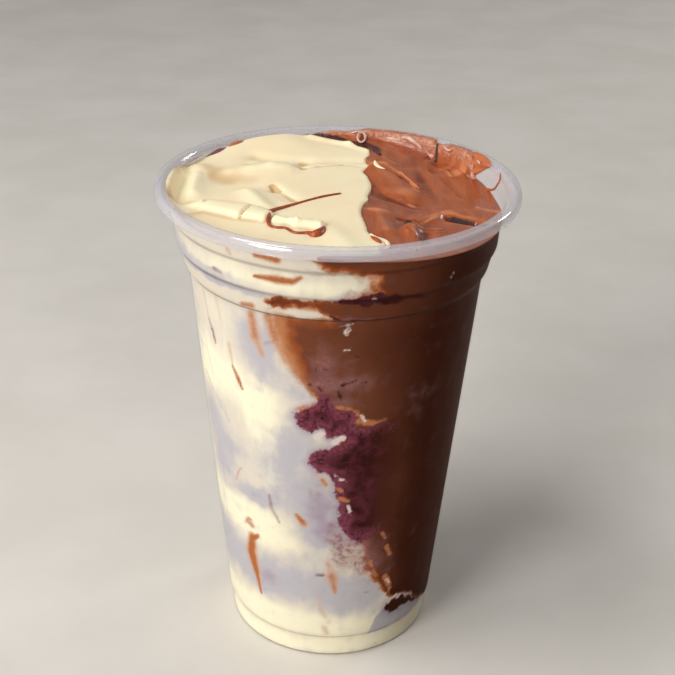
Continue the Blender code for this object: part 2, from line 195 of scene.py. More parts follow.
# Lines of light and shade on the tops' folds: both ends, half width, and how dark, or below zero
# how light
CREAM_SHADES = (
    (-43.2, 10, -43.2, -9, 2.2, 1.15), (-33.5, 10.4, -29.5, 6.6, 3.2, 0.55),
    (-40.6, -16, -36.2, -24.5, 1.1, 0.9), (-36.2, -24.5, -29.4, -32.4, 1.1, 0.7),
    (-34, 15, -28, 13, 3.6, 0.4), (-28, 9.5, -23, 7.5, 3, 0.4), (-23.7, 18.4, -19, 22.5, 0.9, 0.35),
    (-19, 22.5, -14, 21.5, 0.9, 0.35), (-14, 21.5, -9.5, 17.5, 1, 0.4),
    (-9.5, 17.3, -5.3, 19.4, 0.7, 0.3), (-5.3, 19.4, 0.9, 21.6, 0.6, 0.25),
    (0.9, 21.6, 6.5, 19.4, 0.6, 0.2), (-17.3, 4.6, -15.9, 1.9, 1, 1.5),
    (-15.6, 1.4, -10.4, -6.8, 0.8, 0.3), (-8, 34, 0, 31, 4, 0.25), (4.5, -8, 4.5, -16, 2.4, 0.2),
    (-38.4, 10, -38, -3, 2.8, -0.9), (-23.5, -0.5, -17.6, -12, 2, -0.6),
    (-24, 12.6, -18, 15, 1.8, -0.5), (-18, 15, -11.5, 15.4, 1.6, -0.5),
    (-12.8, 0.4, -9.8, -1.8, 1.3, -0.25), (-14, -34.5, 6, -34.5, 3.4, -0.45),
    (-24, 38, -14, 41, 4, -0.35), (-4, -30, 8, -33, 2.8, -0.35), (-8.4, -37.6, 10, -35, 3, -0.35),
    (-36, -11, -24, -14.6, 1.4, -0.5), (-22.3, -15.6, -17.5, -18, 1.6, -0.6),
    (-10.4, -22.2, -10.3, -22.6, 1, -0.8),
)
# In the chocolate, rows above 1.1 paint near-black shadow into its slit and its crack.
CHOCOLATE_SHADES = (
    (29.2, -9, 34.4, -10.1, 0.9, 3.2), (29.6, -8, 34.2, -9.1, 0.7, 2.6),
    (20.3, -20.6, 20.5, -24, 0.8, 1.2), (20.5, 30, 22.1, 15.8, 1.8, 0.3),
    (22.1, 17.4, 26.3, 3, 1.8, 0.2), (11, 0.5, 19, -7, 2.4, 0.5), (9.1, 9.4, 13.2, 1.4, 0.7, 0.15),
    (13.2, 1.4, 19.4, -3.8, 0.7, 0.6), (12.9, 16.9, 16.9, 14.4, 0.6, 0.3),
    (16.9, 14.4, 20.6, 8.4, 0.6, 0.4), (16, -13.4, 18.8, -13.2, 0.9, 1.1),
    (16.9, -16, 18, -19.4, 1.1, 1.4), (9, 36.5, 11.6, 33, 1, 0.9), (14, 20, 20, 11.6, 0.8, -0.6),
    (19.4, 10.4, 20.9, 6.4, 0.6, -1.3), (11, 17, 17, 4, 3, -0.2),
    (18.4, -1.6, 19.6, -2.4, 0.6, -1.2), (31, 20, 37, 0, 6, -0.3),
    (8.5, -9.8, 11.4, -10.4, 1, -0.6), (20.8, -15.8, 27.6, -6.8, 0.45, -0.5),
    (20.2, -17.7, 26, -17.1, 0.4, -0.35), (16.8, -14.6, 19.6, -14.6, 1.2, 0.7),
    (17, -19.6, 18.6, -18.4, 0.8, 0.4), (17.4, -18.6, 17.4, -22, 1.5, 0.9),
    (27.7, 33.2, 27.3, 31, 0.5, 2.4), (27.3, 31, 27, 27, 0.4, 0.7),
)

# Level of the chocolate's film against the wall, by angle
FILM_TOP = (
    (118.6, 124), (120, 127.6), (121.4, 130.6), (123, 131.8), (130, 131.9), (136, 131.7),
    (139.5, 131), (141.5, 131.9), (158, 131.9), (170, 131.8), (174, 131.2), (178, 130.8),
    (184, 130.7), (188, 130.4), (190, 129.8), (192, 128.5), (230, 128),
)
FILM_START = 118.6
FILM_END = 230.0
FILM_WIDTH = 2.3
FILM_RISE = 1.8
# The film's lobe on the bare wall: angle, and its lower and upper edge
LOBE = (
    (123.5, 125.6, 131.9), (121, 125.7, 132), (118.5, 126.8, 132), (116, 128.2, 131.9),
    (114, 129.3, 131.8), (112.2, 130.2, 131.5), (111.2, 130.7, 131.2),
)
LOBE_THICKNESS = 0.7
LOBE_WAVE = 0.35
LOBE_WAVE_LENGTH = 2.6
LOBE_WAVE_LEAN = 0.16
LOBE_RIM = 0.03
# The crack in the chocolate at the back: angle, half width, depth, and the radii it deepens over
CRACK_TURN = 141.0
CRACK_WIDTH = 0.35
CRACK_DEPTH = 0.8
CRACK_START = 36.5
CRACK_RISE = 3.0
# Radii in millimetres round which a top's hollows are looked for, and the weight of each, and
# how many points are taken round a radius. Hollows found get painted shade, crests painted light.
HOLLOWS = ((1.2, 1.6), (3.2, 0.7))
HOLLOW_POINTS = 10
HOLLOW_LIMIT = 37.0
# The purple strip beside the cream: both ends, and the half width at both
STRIP_LINE = (
    (-8.6, 42.9, -1.2, 40.3, 0.8, 1.2), (-1.2, 40.3, 2.1, 39, 1.2, 1.5),
    (2.1, 39, 6.4, 37, 1.5, 1.9), (6.4, 37, 9.8, 33.8, 1.9, 1.6), (9.8, 33.8, 11.8, 28.6, 1.5, 0.5),
)

SHARP_ANGLE = 38.0
# Which faces are a food's top: how near the wall, how far they face outwards or upwards, and the
# heights from which some and all of them are
TOP_MARGIN = 0.25
OUTWARD = 0.3
UPWARD = 0.15
TOP_LOWEST = 120.0
TOP_WHOLE = 124.0
# The cup's mesh: step along its profile and steps round it
CUP_STEP = 4.0
CUP_STEPS = 256
# Which of the cup's faces are inside, by how far inwards they face and how low the floor lies, and
# which are on the lip, by radius and height past the wall's end
CUP_INWARD = -0.2
FLOOR_BELOW = 20.0
LIP_MARGINS = (0.2, 1.0)
# Points along a tube's path for each given one, and how far along its round ends its rings lie
TUBE_FINE = 6
TUBE_ENDS = (0.55, 0.9)
PATCH_FINE = 6
PATCH_ACROSS = 24
# The plastic's looks: name, milkiness low and high, the heights it changes between, how much it
# shines face on and at its edges, and how fast that falls off
PLASTICS = (
    ("plastic_outside", 0, 0.16, 128, 129.4, 0.001, 0.06, 5.5),
    ("plastic_inside", 0.2, 0.3, 126, 130, 0.01, 0.12, 4),
    ("plastic_lip", 0.24, 0.3, 129, 131, 0.07, 0.35, 4),
)

# Width of the drizzle here as a share of the solid's
DRIZZLE_SHARE = 0.95
# Paths across the top as x, y and half width
HOOK = (
    (8.2, -26.6, 0.35), (9.6, -28, 0.5), (11.2, -29.4, 0.6), (12.2, -31.2, 0.6), (12.2, -33, 0.55),
    (11.2, -34.6, 0.5), (9.6, -35.6, 0.35),
)
HOOK_SPOT = ((8.4, -28.8, 0.35), (9, -29.8, 0.65), (9.9, -31.2, 0.7), (10.4, -32.2, 0.4))
FLECK = ((9.9, 19.9, 0.3), (10.2, 18.8, 0.6), (11.1, 17.5, 0.5), (12.5, 16.6, 0.15))
# Paths on the inner wall as angle, height and half width
THREAD = (
    (100.6, 131.6, 0.18), (100.4, 130.4, 0.22), (101.2, 129.2, 0.25), (102.4, 128.2, 0.25),
    (104, 126.6, 0.3), (107, 125.4, 0.35), (110.5, 124.6, 0.5),
)
# Middle of the curl, its half width, half height, lean and thickness, and its points' angles
CURL = (6.4, 39.4, 130.6, 1.1, 1, 1.4, 0.3)
CURL_ANGLES = range(0, 351, 25)
# How far from the inner wall the middle of each path lies
THREAD_INWARD = 0.1
SMEAR_INWARD = -0.15
FILM_ROLL_INWARD = 1.4
FILM_ROLLS = (
    (
        "film_roll_left",
        (
            (154.9, 131.1, 0.35), (152.4, 131.3, 0.6), (150.7, 130.9, 0.7), (148.5, 130.1, 0.55),
            (146.2, 129.1, 0.3),
        ),
    ),
    (
        "film_roll_back",
        ((162, 130.2, 0.2), (160, 130.4, 0.4), (157.5, 130.2, 0.5), (155.7, 130.1, 0.25)),
    ),
    ("film_roll_right", ((143.2, 128.2, 0.25), (141.8, 128, 0.4), (140.6, 127.7, 0.25))),
    ("film_roll_far", ((136.2, 131.4, 0.2), (134.2, 130.7, 0.35), (132.4, 130.9, 0.2))),
    ("film_tip", ((116.8, 131.3, 0.2), (116, 131.2, 0.3), (115.2, 130.9, 0.2))),
    ("film_strand", ((175, 131, 0.2), (172.5, 131.5, 0.3), (170, 131.3, 0.3), (168.5, 130.4, 0.2))),
)
WALL_SMEARS = (
    (
        "orange_smear", "orange_spot", "chocolate_cream",
        ((-143, 129.9, 0.35), (-139.5, 130, 0.7), (-135.5, 129.7, 0.4)),
    ),
    (
        "purple_smear", "purple_spot", "acai",
        ((-134, 129.4, 0.3), (-130, 129.2, 0.75), (-125.5, 128.8, 0.5), (-123, 128.8, 0.2)),
    ),
    (
        "pale_smear", "pale_spot", "milk_cream",
        ((-121, 130, 0.25), (-115, 130.2, 0.5), (-109, 130.4, 0.5), (-104, 130.2, 0.2)),
    ),
)

# ---------------- measures in number arrays


def smooth(t):
    """Eased step from 0 to 1."""
    t = np.clip(t, 0.0, 1.0)
    return t * t * (3.0 - 2.0 * t)


def along(table, value):
    """Linear reading of a table's second column at values of its first."""
    return np.interp(value, [row[0] for row in table], [row[1] for row in table])


def beside(x, y, x0, y0, x1, y1):
    """How far along a line each point lies, from 0 to 1, and how far away from the line."""
    dx, dy = x1 - x0, y1 - y0
    share = np.clip(((x - x0) * dx + (y - y0) * dy) / (dx * dx + dy * dy), 0.0, 1.0)
    return share, np.hypot(x - x0 - share * dx, y - y0 - share * dy)


def fold(x, y, row):
    """Height that one fold adds at each point."""
    away = beside(x, y, *row[:4])[1]
    return row[5] * np.exp(-((away / row[4]) ** 2.0))


def turn_of(x, y):
    """Angle round the cup of each point, from 0 to 360."""
    return np.degrees(np.arctan2(x, -y)) % 360.0


def outline():
    """Outside of the cup from its axis under the push-up to the lip."""
    under = (
        (0.0, PUSH_UP_HEIGHT),
        (PUSH_UP_RADIUS, PUSH_UP_HEIGHT),
        (FOOT_INNER_RADIUS - 0.4, 0.4),
        (FOOT_INNER_RADIUS, 0.0),
        (FOOT_RADIUS, 0.0),
        (FOOT_RADIUS + 0.5, 0.5),
    )
    return list(under + STEPS)


def inset(path, distance):
    """The path moved to its left by a distance, with mitred corners. It starts on the axis."""
    sides = []
    for (r0, z0), (r1, z1) in zip(path, path[1:]):
        length = math.hypot(r1 - r0, z1 - z0)
        sides.append((-(z1 - z0) / length, (r1 - r0) / length))
    moved = []
    for index, (r, z) in enumerate(path):
        a = sides[max(0, index - 1)]
        b = sides[min(len(sides) - 1, index)]
        scale = distance / (1.0 + a[0] * b[0] + a[1] * b[1])
        moved.append((max(0.0, r + (a[0] + b[0]) * scale), z + (a[1] + b[1]) * scale))
    return moved


def radius_inside(z, distance):
    """Radius of the room inside the cup at a height, this far in from the outside."""
    table = [(height, r) for r, height in inset(outline(), distance) if r > FOOT_RADIUS - 2.0]
    return along(sorted(table), z)


def edge_on_top(y):
    """Where the chocolate meets the cream on top, across the cup at this depth."""
    edge = EDGE_X
    for centre, half, height in TOP_WAVES + EDGE_RIPPLES:
        edge = edge + height * np.exp(-(((y - centre) / half) ** 2))
    for start, length, reach in FRONT_BENDS:
        edge = edge + reach * smooth((start - y) / length)
    start, rate = BACK_BEND
    return edge - rate * np.maximum(0.0, y - start) ** 2


def ribbon(x, y):
    """Height of the flat-topped ribbon that lies on the cream."""
    found = np.zeros(np.shape(x))
    for x0, y0, half0, rise0, x1, y1, half1, rise1 in RIBBON:
        dx, dy = x1 - x0, y1 - y0
        length = math.hypot(dx, dy)
        ahead = ((x - x0) * dx + (y - y0) * dy) / length
        across = np.abs((y - y0) * dx - (x - x0) * dy) / length
        share = np.clip(ahead / length, 0.0, 1.0)
        over = np.maximum(-ahead, ahead - length)
        half = half0 + (half1 - half0) * share
        side = smooth(0.5 + (half - across) / (2.0 * RIBBON_EDGE))
        side = side * smooth(0.5 - over / (2.0 * RIBBON_END))
        crown = 1.0 - RIBBON_CROWN * np.clip(across / half, 0.0, 1.0) ** 2
        found = np.maximum(found, (rise0 + (rise1 - rise0) * share) * side * crown)
    for x0, y0, half, rise in RIBBON_DOTS:
        found = found + rise * np.exp(-((np.hypot(x - x0, y - y0) / half) ** 2))
    return found


def cream_level(x, y):
    """Height of the cream's top."""
    height = CREAM_LEVEL + CREAM_SLOPE * y
    for row in CREAM_FOLDS + FINE_CREAM:
        height = height + fold(x, y, row)
    height = height + ribbon(x, y)
    turn = turn_of(x, y)
    off = np.maximum(0.0, (radius_inside(LIP_LEVEL, WALL) - np.hypot(x, y)) / CREEP_WIDTH)
    height = height + along(CREAM_CREEP, turn) * np.exp(-off**2 * 2.0)
    near = np.clip((edge_on_top(y) - x) / EDGE_ROUND, 0.0, 1.0)
    return height - EDGE_DROP * (1.0 - np.sqrt(1.0 - (1.0 - near) ** 2))


def on_film(away, turn):
    """Share of the chocolate's climb up the wall, by distance from the axis and angle."""
    start = radius_inside(LIP_LEVEL, WALL) - FILM_WIDTH
    return smooth((away - start) / FILM_RISE) * ((turn > FILM_START) & (turn < FILM_END))


def chocolate_level(x, y):
    """Height of the chocolate's top, which climbs the cup's wall round the back."""
    height = CHOCOLATE_LEVEL - CHOCOLATE_SLOPE * (x - EDGE_X)
    height = height + CHOCOLATE_BACK_SLOPE * np.maximum(0.0, y - CHOCOLATE_BACK_START)
    for row in CHOCOLATE_FOLDS + FINE_CHOCOLATE:
        height = height + fold(x, y, row)
    turn = turn_of(x, y)
    away = np.hypot(x, y)
    height = height + np.maximum(0.0, along(FILM_TOP, turn) - height) * on_film(away, turn)
    off = np.radians(turn - CRACK_TURN) * away
    crack = CRACK_DEPTH * np.exp(-((off / CRACK_WIDTH) ** 2))
    return height - crack * smooth((away - CRACK_START) / CRACK_RISE)


def hollow(level, x, y, reach):
    """How much lower a top lies at each point than round about it."""
    ring = [2.0 * math.pi * k / HOLLOW_POINTS for k in range(HOLLOW_POINTS)]
    about = np.mean([level(x + reach * math.cos(a), y + reach * math.sin(a)) for a in ring], axis=0)
    return about - level(x, y)


def meeting(y, z):
    """How far across the cup the chocolate meets the cream, at this depth and height."""
    radius = radius_inside(z, WALL)
    front = radius * np.sin(np.radians(along(FRONT_MEET, z)))
    base = BACK_SWAY * np.sin(z / BACK_WAVE)
    back = base + (radius - base) * smooth(1.0 - z / BACK_CLIMB)
    side = smooth((y + radius) / (2.0 * radius))
    inside = front + (back - front) * side
    return inside + (edge_on_top(y) - inside) * smooth((z - TOP_BLEND_START) / TOP_BLEND)


# ---------------- meshes


def linked(name, data):
    """An object with this data, in the scene."""
    obj = bpy.data.objects.new(name, data)
    bpy.context.scene.collection.objects.link(obj)
    return obj


def new_object(name, verts, faces):
    """A mesh object from points in millimetres, its faces turned outwards."""
    mesh = bpy.data.meshes.new(name)
    mesh.from_pydata((np.asarray(verts) * MM).tolist(), [], faces)
    body = bmesh.new()
    body.from_mesh(mesh)
    bmesh.ops.recalc_face_normals(body, faces=body.faces)
    body.to_mesh(mesh)
    body.free()
    mesh.polygons.foreach_set("use_smooth", [True] * len(mesh.polygons))
    return linked(name, mesh)


def rounded(path, reach=CORNER, steps=3):
    """The path with each corner swept round, from this far before it to as far after it."""
    found = [path[0]]
    for before, here, after in zip(path, path[1:], path[2:]):
        lengths = [math.dist(here, before), math.dist(here, after)]
        if min(lengths) < 1e-6:
            continue
        a, b = (
            tuple(h + (o - h) * min(reach, 0.45 * length) / length for h, o in zip(here, other))
            for other, length in zip((before, after), lengths)
        )
        for k in range(steps + 1):
            t = k / steps
            one, two, three = (1 - t) ** 2, 2 * t * (1 - t), t * t
            found.append(tuple(one * p + two * q + three * r for p, q, r in zip(a, here, b)))
    return found + [path[-1]]


def refined(path, step, inside=FOOT_INNER_RADIUS - 1.0):
    """The path with points at most this far apart, outside a radius."""
    found = [path[0]]
    for a, b in zip(path, path[1:]):
        count = 1 if max(a[0], b[0]) < inside else max(1, math.ceil(math.dist(a, b) / step))
        for k in range(1, count + 1):
            found.append(tuple(p + (q - p) * k / count for p, q in zip(a, b)))
    return found


def joined(rings):
    """Faces between each ring of points and the next. A ring of one repeated point is a tip."""
    faces = []
    for low, high in zip(rings, rings[1:]):
        for step in range(len(low)):
            after = (step + 1) % len(low)
            face = tuple(dict.fromkeys((low[step], low[after], high[after], high[step])))
            if len(face) > 2:
                faces.append(face)
    return faces


def turned(name, profile, steps=ROUND_STEPS):
    """A body of revolution. Its profile starts and ends on the axis."""
    verts, rings = [], []
    angles = np.arange(steps) * 2.0 * math.pi / steps
    for r, z in profile:
        if r < 1e-6:
            rings.append([len(verts)] * steps)
            verts.append((0.0, 0.0, z))
            continue
        rings.append(list(range(len(verts), len(verts) + steps)))
        verts += list(zip(r * np.sin(angles), -r * np.cos(angles), [z] * steps))
    return new_object(name, verts, joined(rings))


def grid_body(name, points, backs):
    """A closed body between a grid of points and the same grid moved back."""
    rows, cols = points.shape[:2]
    half = rows * cols
    spots = np.arange(half).reshape(rows, cols)
    a, b, c, d = spots[:-1, :-1], spots[:-1, 1:], spots[1:, 1:], spots[1:, :-1]
    front = np.stack([a, b, c, d], axis=-1).reshape(-1, 4)
    faces = front.tolist() + (front[:, ::-1] + half).tolist()
    rim = list(spots[0]) + list(spots[1:, -1]) + list(spots[-1, -2::-1]) + list(spots[-2:0:-1, 0])
    rim = [int(spot) for spot in rim]
    faces += [(p, q, q + half, p + half) for p, q in zip(rim, rim[1:] + rim[:1])]
    return new_object(name, np.concatenate([points.reshape(-1, 3), backs.reshape(-1, 3)]), faces)


def disc_points(step):
    """Points of a disc in rows and columns, closer together near its edge."""
    count = int(2.0 * TOP_REACH / step) | 1
    u, v = np.meshgrid(np.linspace(-1.0, 1.0, count), np.linspace(-1.0, 1.0, count))
    wide = np.abs(u) > np.abs(v)
    reach = np.where(wide, u, v)
    safe = np.where(np.abs(reach) < 1e-9, 1.0, reach)
    turn = np.where(wide, math.pi / 4.0 * v / safe, math.pi / 2.0 - math.pi / 4.0 * u / safe)
    crowded = np.abs(reach) + TOP_CROWDING * np.sin(math.pi * np.abs(reach)) / math.pi
    radius = np.copysign(crowded * TOP_REACH, reach)
    return radius * np.cos(turn), radius * np.sin(turn)


def spread(low, high, step):
    return np.linspace(low, high, max(2, round((high - low) / step) + 1))


def make_room(name):
    """The food's outside: just inside the plastic of the wall, and a film's outside on the lip."""
    path = rounded(inset(outline(), FILL_INSET))
    path = refined(path + list(LIP_FILM), WALL_STEP)
    return turned(name, path + [(path[-1][0], ABOVE), (0.0, ABOVE)])


def make_top(name, level):
    x, y = disc_points(TOP_STEP)
    top, bottom = (np.stack([x, y, z], axis=-1) for z in (level(x, y), np.full_like(x, BELOW)))
    return grid_body(name, top, bottom)


def make_chocolate_side(name, shift):
    """Everything on the chocolate's side of where it meets the cream."""
    zs = np.concatenate([spread(*rows) for rows in SIDE_LEVELS] + [[ABOVE]])
    y, z = np.meshgrid(spread(-TOP_REACH, TOP_REACH, SIDE_STEP), zs)
    points = np.stack([meeting(y, z) + shift, y, z], axis=-1)
    return grid_body(name, points, np.stack([np.full_like(y, BESIDE), y, z], axis=-1))


def make_acai_mass(name, grow=0.0, sides=48):
    """The acai's mass: slices that reach in from beyond the wall, rounded at the back."""
    low, high = ACAI_EDGES[0][0], ACAI_EDGES[-1][0]
    angles = np.arange(sides) * 2.0 * math.pi / sides
    across = np.copysign(np.abs(np.cos(angles)) ** ACAI_SQUARENESS[0], np.cos(angles))
    depth = np.copysign(np.abs(np.sin(angles)) ** ACAI_SQUARENESS[1], np.sin(angles))
    verts, rings = [], []
    for z, left, right in ACAI_EDGES:
        radius = radius_inside(z, WALL)
        x0 = radius * math.sin(math.radians(left)) - grow
        x1 = radius * math.sin(math.radians(right)) + grow
        share = (z - low) / (high - low)
        bulge = max(0.0, math.sin(math.pi * share)) ** ACAI_BULGE
        back = ACAI_ENDS_BACK + (ACAI_BACK - ACAI_ENDS_BACK) * bulge + grow
        ring = np.stack(
            [
                (x0 + x1) / 2.0 + (x1 - x0) / 2.0 * across,
                ACAI_FRONT + (back - ACAI_FRONT) / 2.0 * (1.0 + depth),
                np.full(sides, z + grow * (2.0 * share - 1.0)),
            ],
            axis=-1,
        )
        rings.append(list(range(len(verts), len(verts) + sides)))
        verts += list(ring)
    return new_object(name, verts, [tuple(rings[0]), tuple(rings[-1])] + joined(rings))


def carved(obj, *cuts):
    """The object with each (operation, other) worked into its mesh."""
    for operation, other in cuts:
        cut = obj.modifiers.new(other.name, "BOOLEAN")
        cut.operation = operation
        cut.object = other
        cut.solver = "MANIFOLD"
    bpy.context.view_layer.update()
    mesh = bpy.data.meshes.new_from_object(obj.evaluated_get(bpy.context.evaluated_depsgraph_get()))
    obj.modifiers.clear()
    obj.data = mesh
    mesh.name = obj.name
    mesh.materials.clear()
    return obj


def points_of(mesh):
    spots = np.empty(len(mesh.vertices) * 3, np.float32)
    mesh.vertices.foreach_get("co", spots)
    return spots.reshape(-1, 3).astype(float) / MM


def tube(name, path, sides=12, squash=1.0):
    """A closed tube with round ends through (x, y, z, radius) points, flattened by squash."""
    path = np.asarray(path, float)
    count = len(path)
    fine = np.linspace(0.0, count - 1.0, (count - 1) * TUBE_FINE + 1)
    index = np.clip(fine.astype(int), 0, count - 2)
    t = (fine - index)[:, None]
    p0, p1 = path[np.maximum(index - 1, 0)], path[index]
    p2, p3 = path[index + 1], path[np.minimum(index + 2, count - 1)]
    square, cube = 2.0 * p0 - 5.0 * p1 + 4.0 * p2 - p3, 3.0 * p1 - p0 - 3.0 * p2 + p3
    line = 0.5 * (2.0 * p1 + (p2 - p0) * t + square * t**2 + cube * t**3)
    ahead = np.gradient(line[:, :3], axis=0)
    ahead /= np.linalg.norm(ahead, axis=1, keepdims=True)
    caps = []
    for end, sign in ((0, -1.0), (-1, 1.0)):
        for k in TUBE_ENDS:
            spot = line[end].copy()
            spot[:3] += sign * ahead[end] * spot[3] * k
            spot[3] *= math.sqrt(1.0 - k * k)
            caps.append((spot, ahead[end]))
    line = np.vstack([caps[1][0], caps[0][0], line, caps[2][0], caps[3][0]])
    ahead = np.vstack([caps[1][1], caps[0][1], ahead, caps[2][1], caps[3][1]])
    verts = []
    for (*spot, radius), way in zip(line, ahead):
        side = np.cross(way, [0.0, 0.0, 1.0])
        if np.linalg.norm(side) < 0.3:
            side = np.cross(way, [0.3, 1.0, 0.0])
        side /= np.linalg.norm(side)
        rise = np.cross(side, way)
        for k in range(sides):
            a = 2.0 * math.pi * k / sides
            verts.append(spot + radius * (math.cos(a) * side + math.sin(a) * squash * rise))
    rings = [tuple(range(start, start + sides)) for start in range(0, len(verts), sides)]
    return new_object(name, verts, joined(rings) + [rings[0], rings[-1]])


def wall_patch(name, rows, thickness):
    """A thin rounded patch on the inner wall and lip, from rows of angle, low and high level."""
    across = np.linspace(0.0, len(rows) - 1.0, len(rows) * PATCH_FINE)
    turn, low, high = (np.interp(across, np.arange(len(rows)), given) for given in zip(*rows))
    share = np.linspace(0.0, 1.0, PATCH_ACROSS)
    level = low[:, None] + (high - low)[:, None] * share[None, :]
    turn = np.repeat(turn[:, None], len(share), axis=1)
    lip = [(LIP_LEVEL, LIP_RADIUS - WALL)] + [(z, r) for r, z in LIP_FILM]
    wall = np.where(level < LIP_LEVEL, radius_inside(level, WALL), along(lip, level))
    edge = np.sqrt(np.clip(1.0 - (2.0 * share[None, :] - 1.0) ** 4, 0.0, 1.0))
    edge = edge * np.sqrt(np.clip(1.0 - (across[:, None] / (len(rows) - 1.0)) ** 6, 0.0, 1.0))
    phase = 2.0 * math.pi * (level + LOBE_WAVE_LEAN * turn) / LOBE_WAVE_LENGTH
    inner = wall - LOBE_RIM - thickness * edge * (1.0 + LOBE_WAVE * np.sin(phase))
    angle = np.radians(turn)
    inner, outer = (
        np.stack([radius * np.sin(angle), -radius * np.cos(angle), level], axis=-1)
        for radius in (inner, wall + SEAM)
    )
    return grid_body(name, inner, outer)


# ---------------- marks where the food meets the wall

# Areas on the wall as corners of angle and height
CHOCOLATE_AREA = (
    (-8, 136), (-8, 129.5), (-6.5, 127.2), (-3.5, 125.8), (0, 124.7), (5, 124.3), (10, 123.7),
    (14.5, 122.9), (14.5, 121.6), (11.8, 120.5), (13, 119), (15, 118.3), (10, 118.2), (5, 117.4),
    (0, 116.2), (-8, 115.9), (-16, 116), (-22, 115.3), (-24.5, 114.2), (-21, 113.2), (-17, 113.6),
    (-10, 114.3), (-6, 113.6), (-3, 112.3), (-1, 111.4), (-1.3, 110.2), (-8, 109.8), (-17.5, 109.6),
    (-17, 105), (-15.2, 100), (-13.2, 96), (-11.2, 93), (-9.6, 90), (-7, 88.6), (-5.3, 87.2),
    (-3, 84), (2, 80), (4, 60), (9, 46), (15, 41.5), (17.5, 39), (18.5, 36), (17, 33.5), (19, 31),
    (21, 28.5), (25, 26.5), (27, 23.6), (30, 21.5), (32, 19), (35, 18.2), (38, 18.9), (43, 18.2),
    (50, 15.2), (56, 12), (62, 10.6), (70, 8.5), (80, 6.2), (92, 5), (140, 5), (140, 136),
)
ACAI_AREA = (
    (-15.4, 81.3), (-14.2, 83.3), (-11, 84.3), (-8, 84.9), (-6.4, 86.4), (-4.6, 88.4), (-2, 87.8),
    (-0.4, 86), (1.2, 84.7), (4, 83.6), (8, 83.3), (10, 82), (9.2, 80), (9.2, 78.6), (12, 78.4),
    (16, 79), (20, 79.5), (26, 79.3), (31, 77), (35, 70), (36, 60), (35, 51), (30, 45.5),
    (22, 43.5), (17, 41.3), (14, 40.8), (10, 42), (6.8, 44.8), (4.2, 48), (3.3, 52), (3.6, 54.6),
    (1.8, 58), (1.4, 61), (0.4, 63.2), (-3, 64.1), (-6, 64.9), (-9, 66.2), (-9.8, 68.6), (-8, 70.6),
    (-5, 71.4), (-2.4, 72.3), (0.4, 73), (3, 73.2), (5.6, 74.9), (3.6, 76.4), (1, 75.9),
    (-1.4, 75.2), (-2.6, 76.7), (-4, 78.4), (-6, 78.6), (-8, 77), (-10.5, 77.5), (-13, 78.2),
)
STRIP_AREA = (
    (-1, 116), (5, 117.4), (10, 118.2), (15, 118.4), (20, 117.7), (26, 116.5), (33, 115.5),
    (30, 114.9), (20, 115.1), (10, 114.9), (3, 115.4),
)
LOW_ACAI_AREA = (
    (31, 14.6), (32.6, 16.6), (36, 17), (40, 17.4), (43, 17.2), (48, 15.3), (54, 12.6), (60, 11.2),
    (57, 10.9), (48, 12.9), (43, 13.6), (40.6, 12.3), (36.6, 12.2), (32.8, 13),
)
ACAI_AREAS = (ACAI_AREA, STRIP_AREA, LOW_ACAI_AREA)
LOW_LAVENDER_AREA = (
    (23.5, 6.4), (25, 10.4), (28, 13), (31, 15), (34, 12.6), (44, 12.8), (58, 11), (64, 9.6),
    (56, 8), (44, 6.9),
)

# Strokes on the wall: angle and height of both ends, half width at both ends, strength
TAN_STROKES = (
    (-27, 120.8, -19, 121.1, 0.4, 0.9, 1), (-19, 121, -14, 121, 0.9, 0.7, 1),
    (-14, 121, -11, 122.4, 0.7, 0.4, 1), (-26, 126.9, -18.5, 126.5, 0.6, 0.8, 0.95),
    (-36.6, 126.6, -35.6, 125.4, 0.6, 0.5, 0.5), (-34.5, 111.2, -30.5, 111.6, 0.7, 0.9, 0.75),
    (-24, 114.4, -14, 114.6, 0.5, 1, 1), (-14, 114.6, -2, 114.4, 1, 1.2, 1),
    (-32, 108.5, -31, 102, 1.3, 1.5, 0.66), (-31, 102, -28, 97.5, 1.4, 0.7, 0.5),
    (-24.5, 109, -22, 103, 1.4, 1.6, 0.75), (-22, 103, -18, 97, 1.6, 0.9, 0.6),
    (-20, 108.5, -16, 99, 2.2, 2.4, 0.95), (-16, 99, -11.5, 93.5, 2.3, 1.2, 0.95),
    (-44.2, 91, -41.6, 88, 0.35, 0.6, 0.8), (-41.6, 88, -39.6, 85, 0.6, 0.3, 1),
    (-45, 97, -44, 92, 0.8, 0.5, 0.35), (-15.8, 49.6, -12.4, 47.2, 0.5, 1, 0.9),
    (-4, 62.2, -2.4, 60.6, 0.7, 0.7, 0.7), (-47, 57.5, -45, 58.8, 0.3, 0.3, 0.5),
    (-49.5, 54, -47, 57.5, 0.4, 0.35, 0.5), (-43.6, 41.6, -40.8, 40.8, 0.9, 0.8, 0.6),
    (-45, 41, -43, 42.8, 0.5, 0.5, 0.6), (-43, 42.8, -40.4, 42.4, 0.5, 0.3, 0.55),
    (-37.6, 38.2, -41, 36.4, 0.5, 1, 1), (-41.6, 37, -43.2, 31, 1.1, 1.7, 1),
    (-43.2, 31, -40.6, 24.5, 1.7, 1.1, 1), (-40.6, 24.5, -38.6, 17.5, 1, 0.3, 0.95),
    (-0.6, 34, 1.4, 29.5, 0.8, 1.7, 0.42), (1.4, 29.5, 3.2, 23.4, 1.7, 0.5, 0.62),
    (-5, 22.5, -4.2, 17.5, 0.6, 0.8, 0.25), (-4.2, 17.5, -1.6, 14.6, 0.8, 0.7, 0.3),
    (-2.4, 10.8, -0.8, 8.8, 0.9, 0.9, 0.32), (-60, 110, -57.5, 100, 0.8, 0.6, 0.25),
    (-50, 109.5, -49, 103, 0.9, 0.5, 0.22), (-66, 96, -60, 84, 0.7, 0.5, 0.2),
    (-7, 63.8, -3.4, 62.6, 0.6, 0.6, 0.3),
)
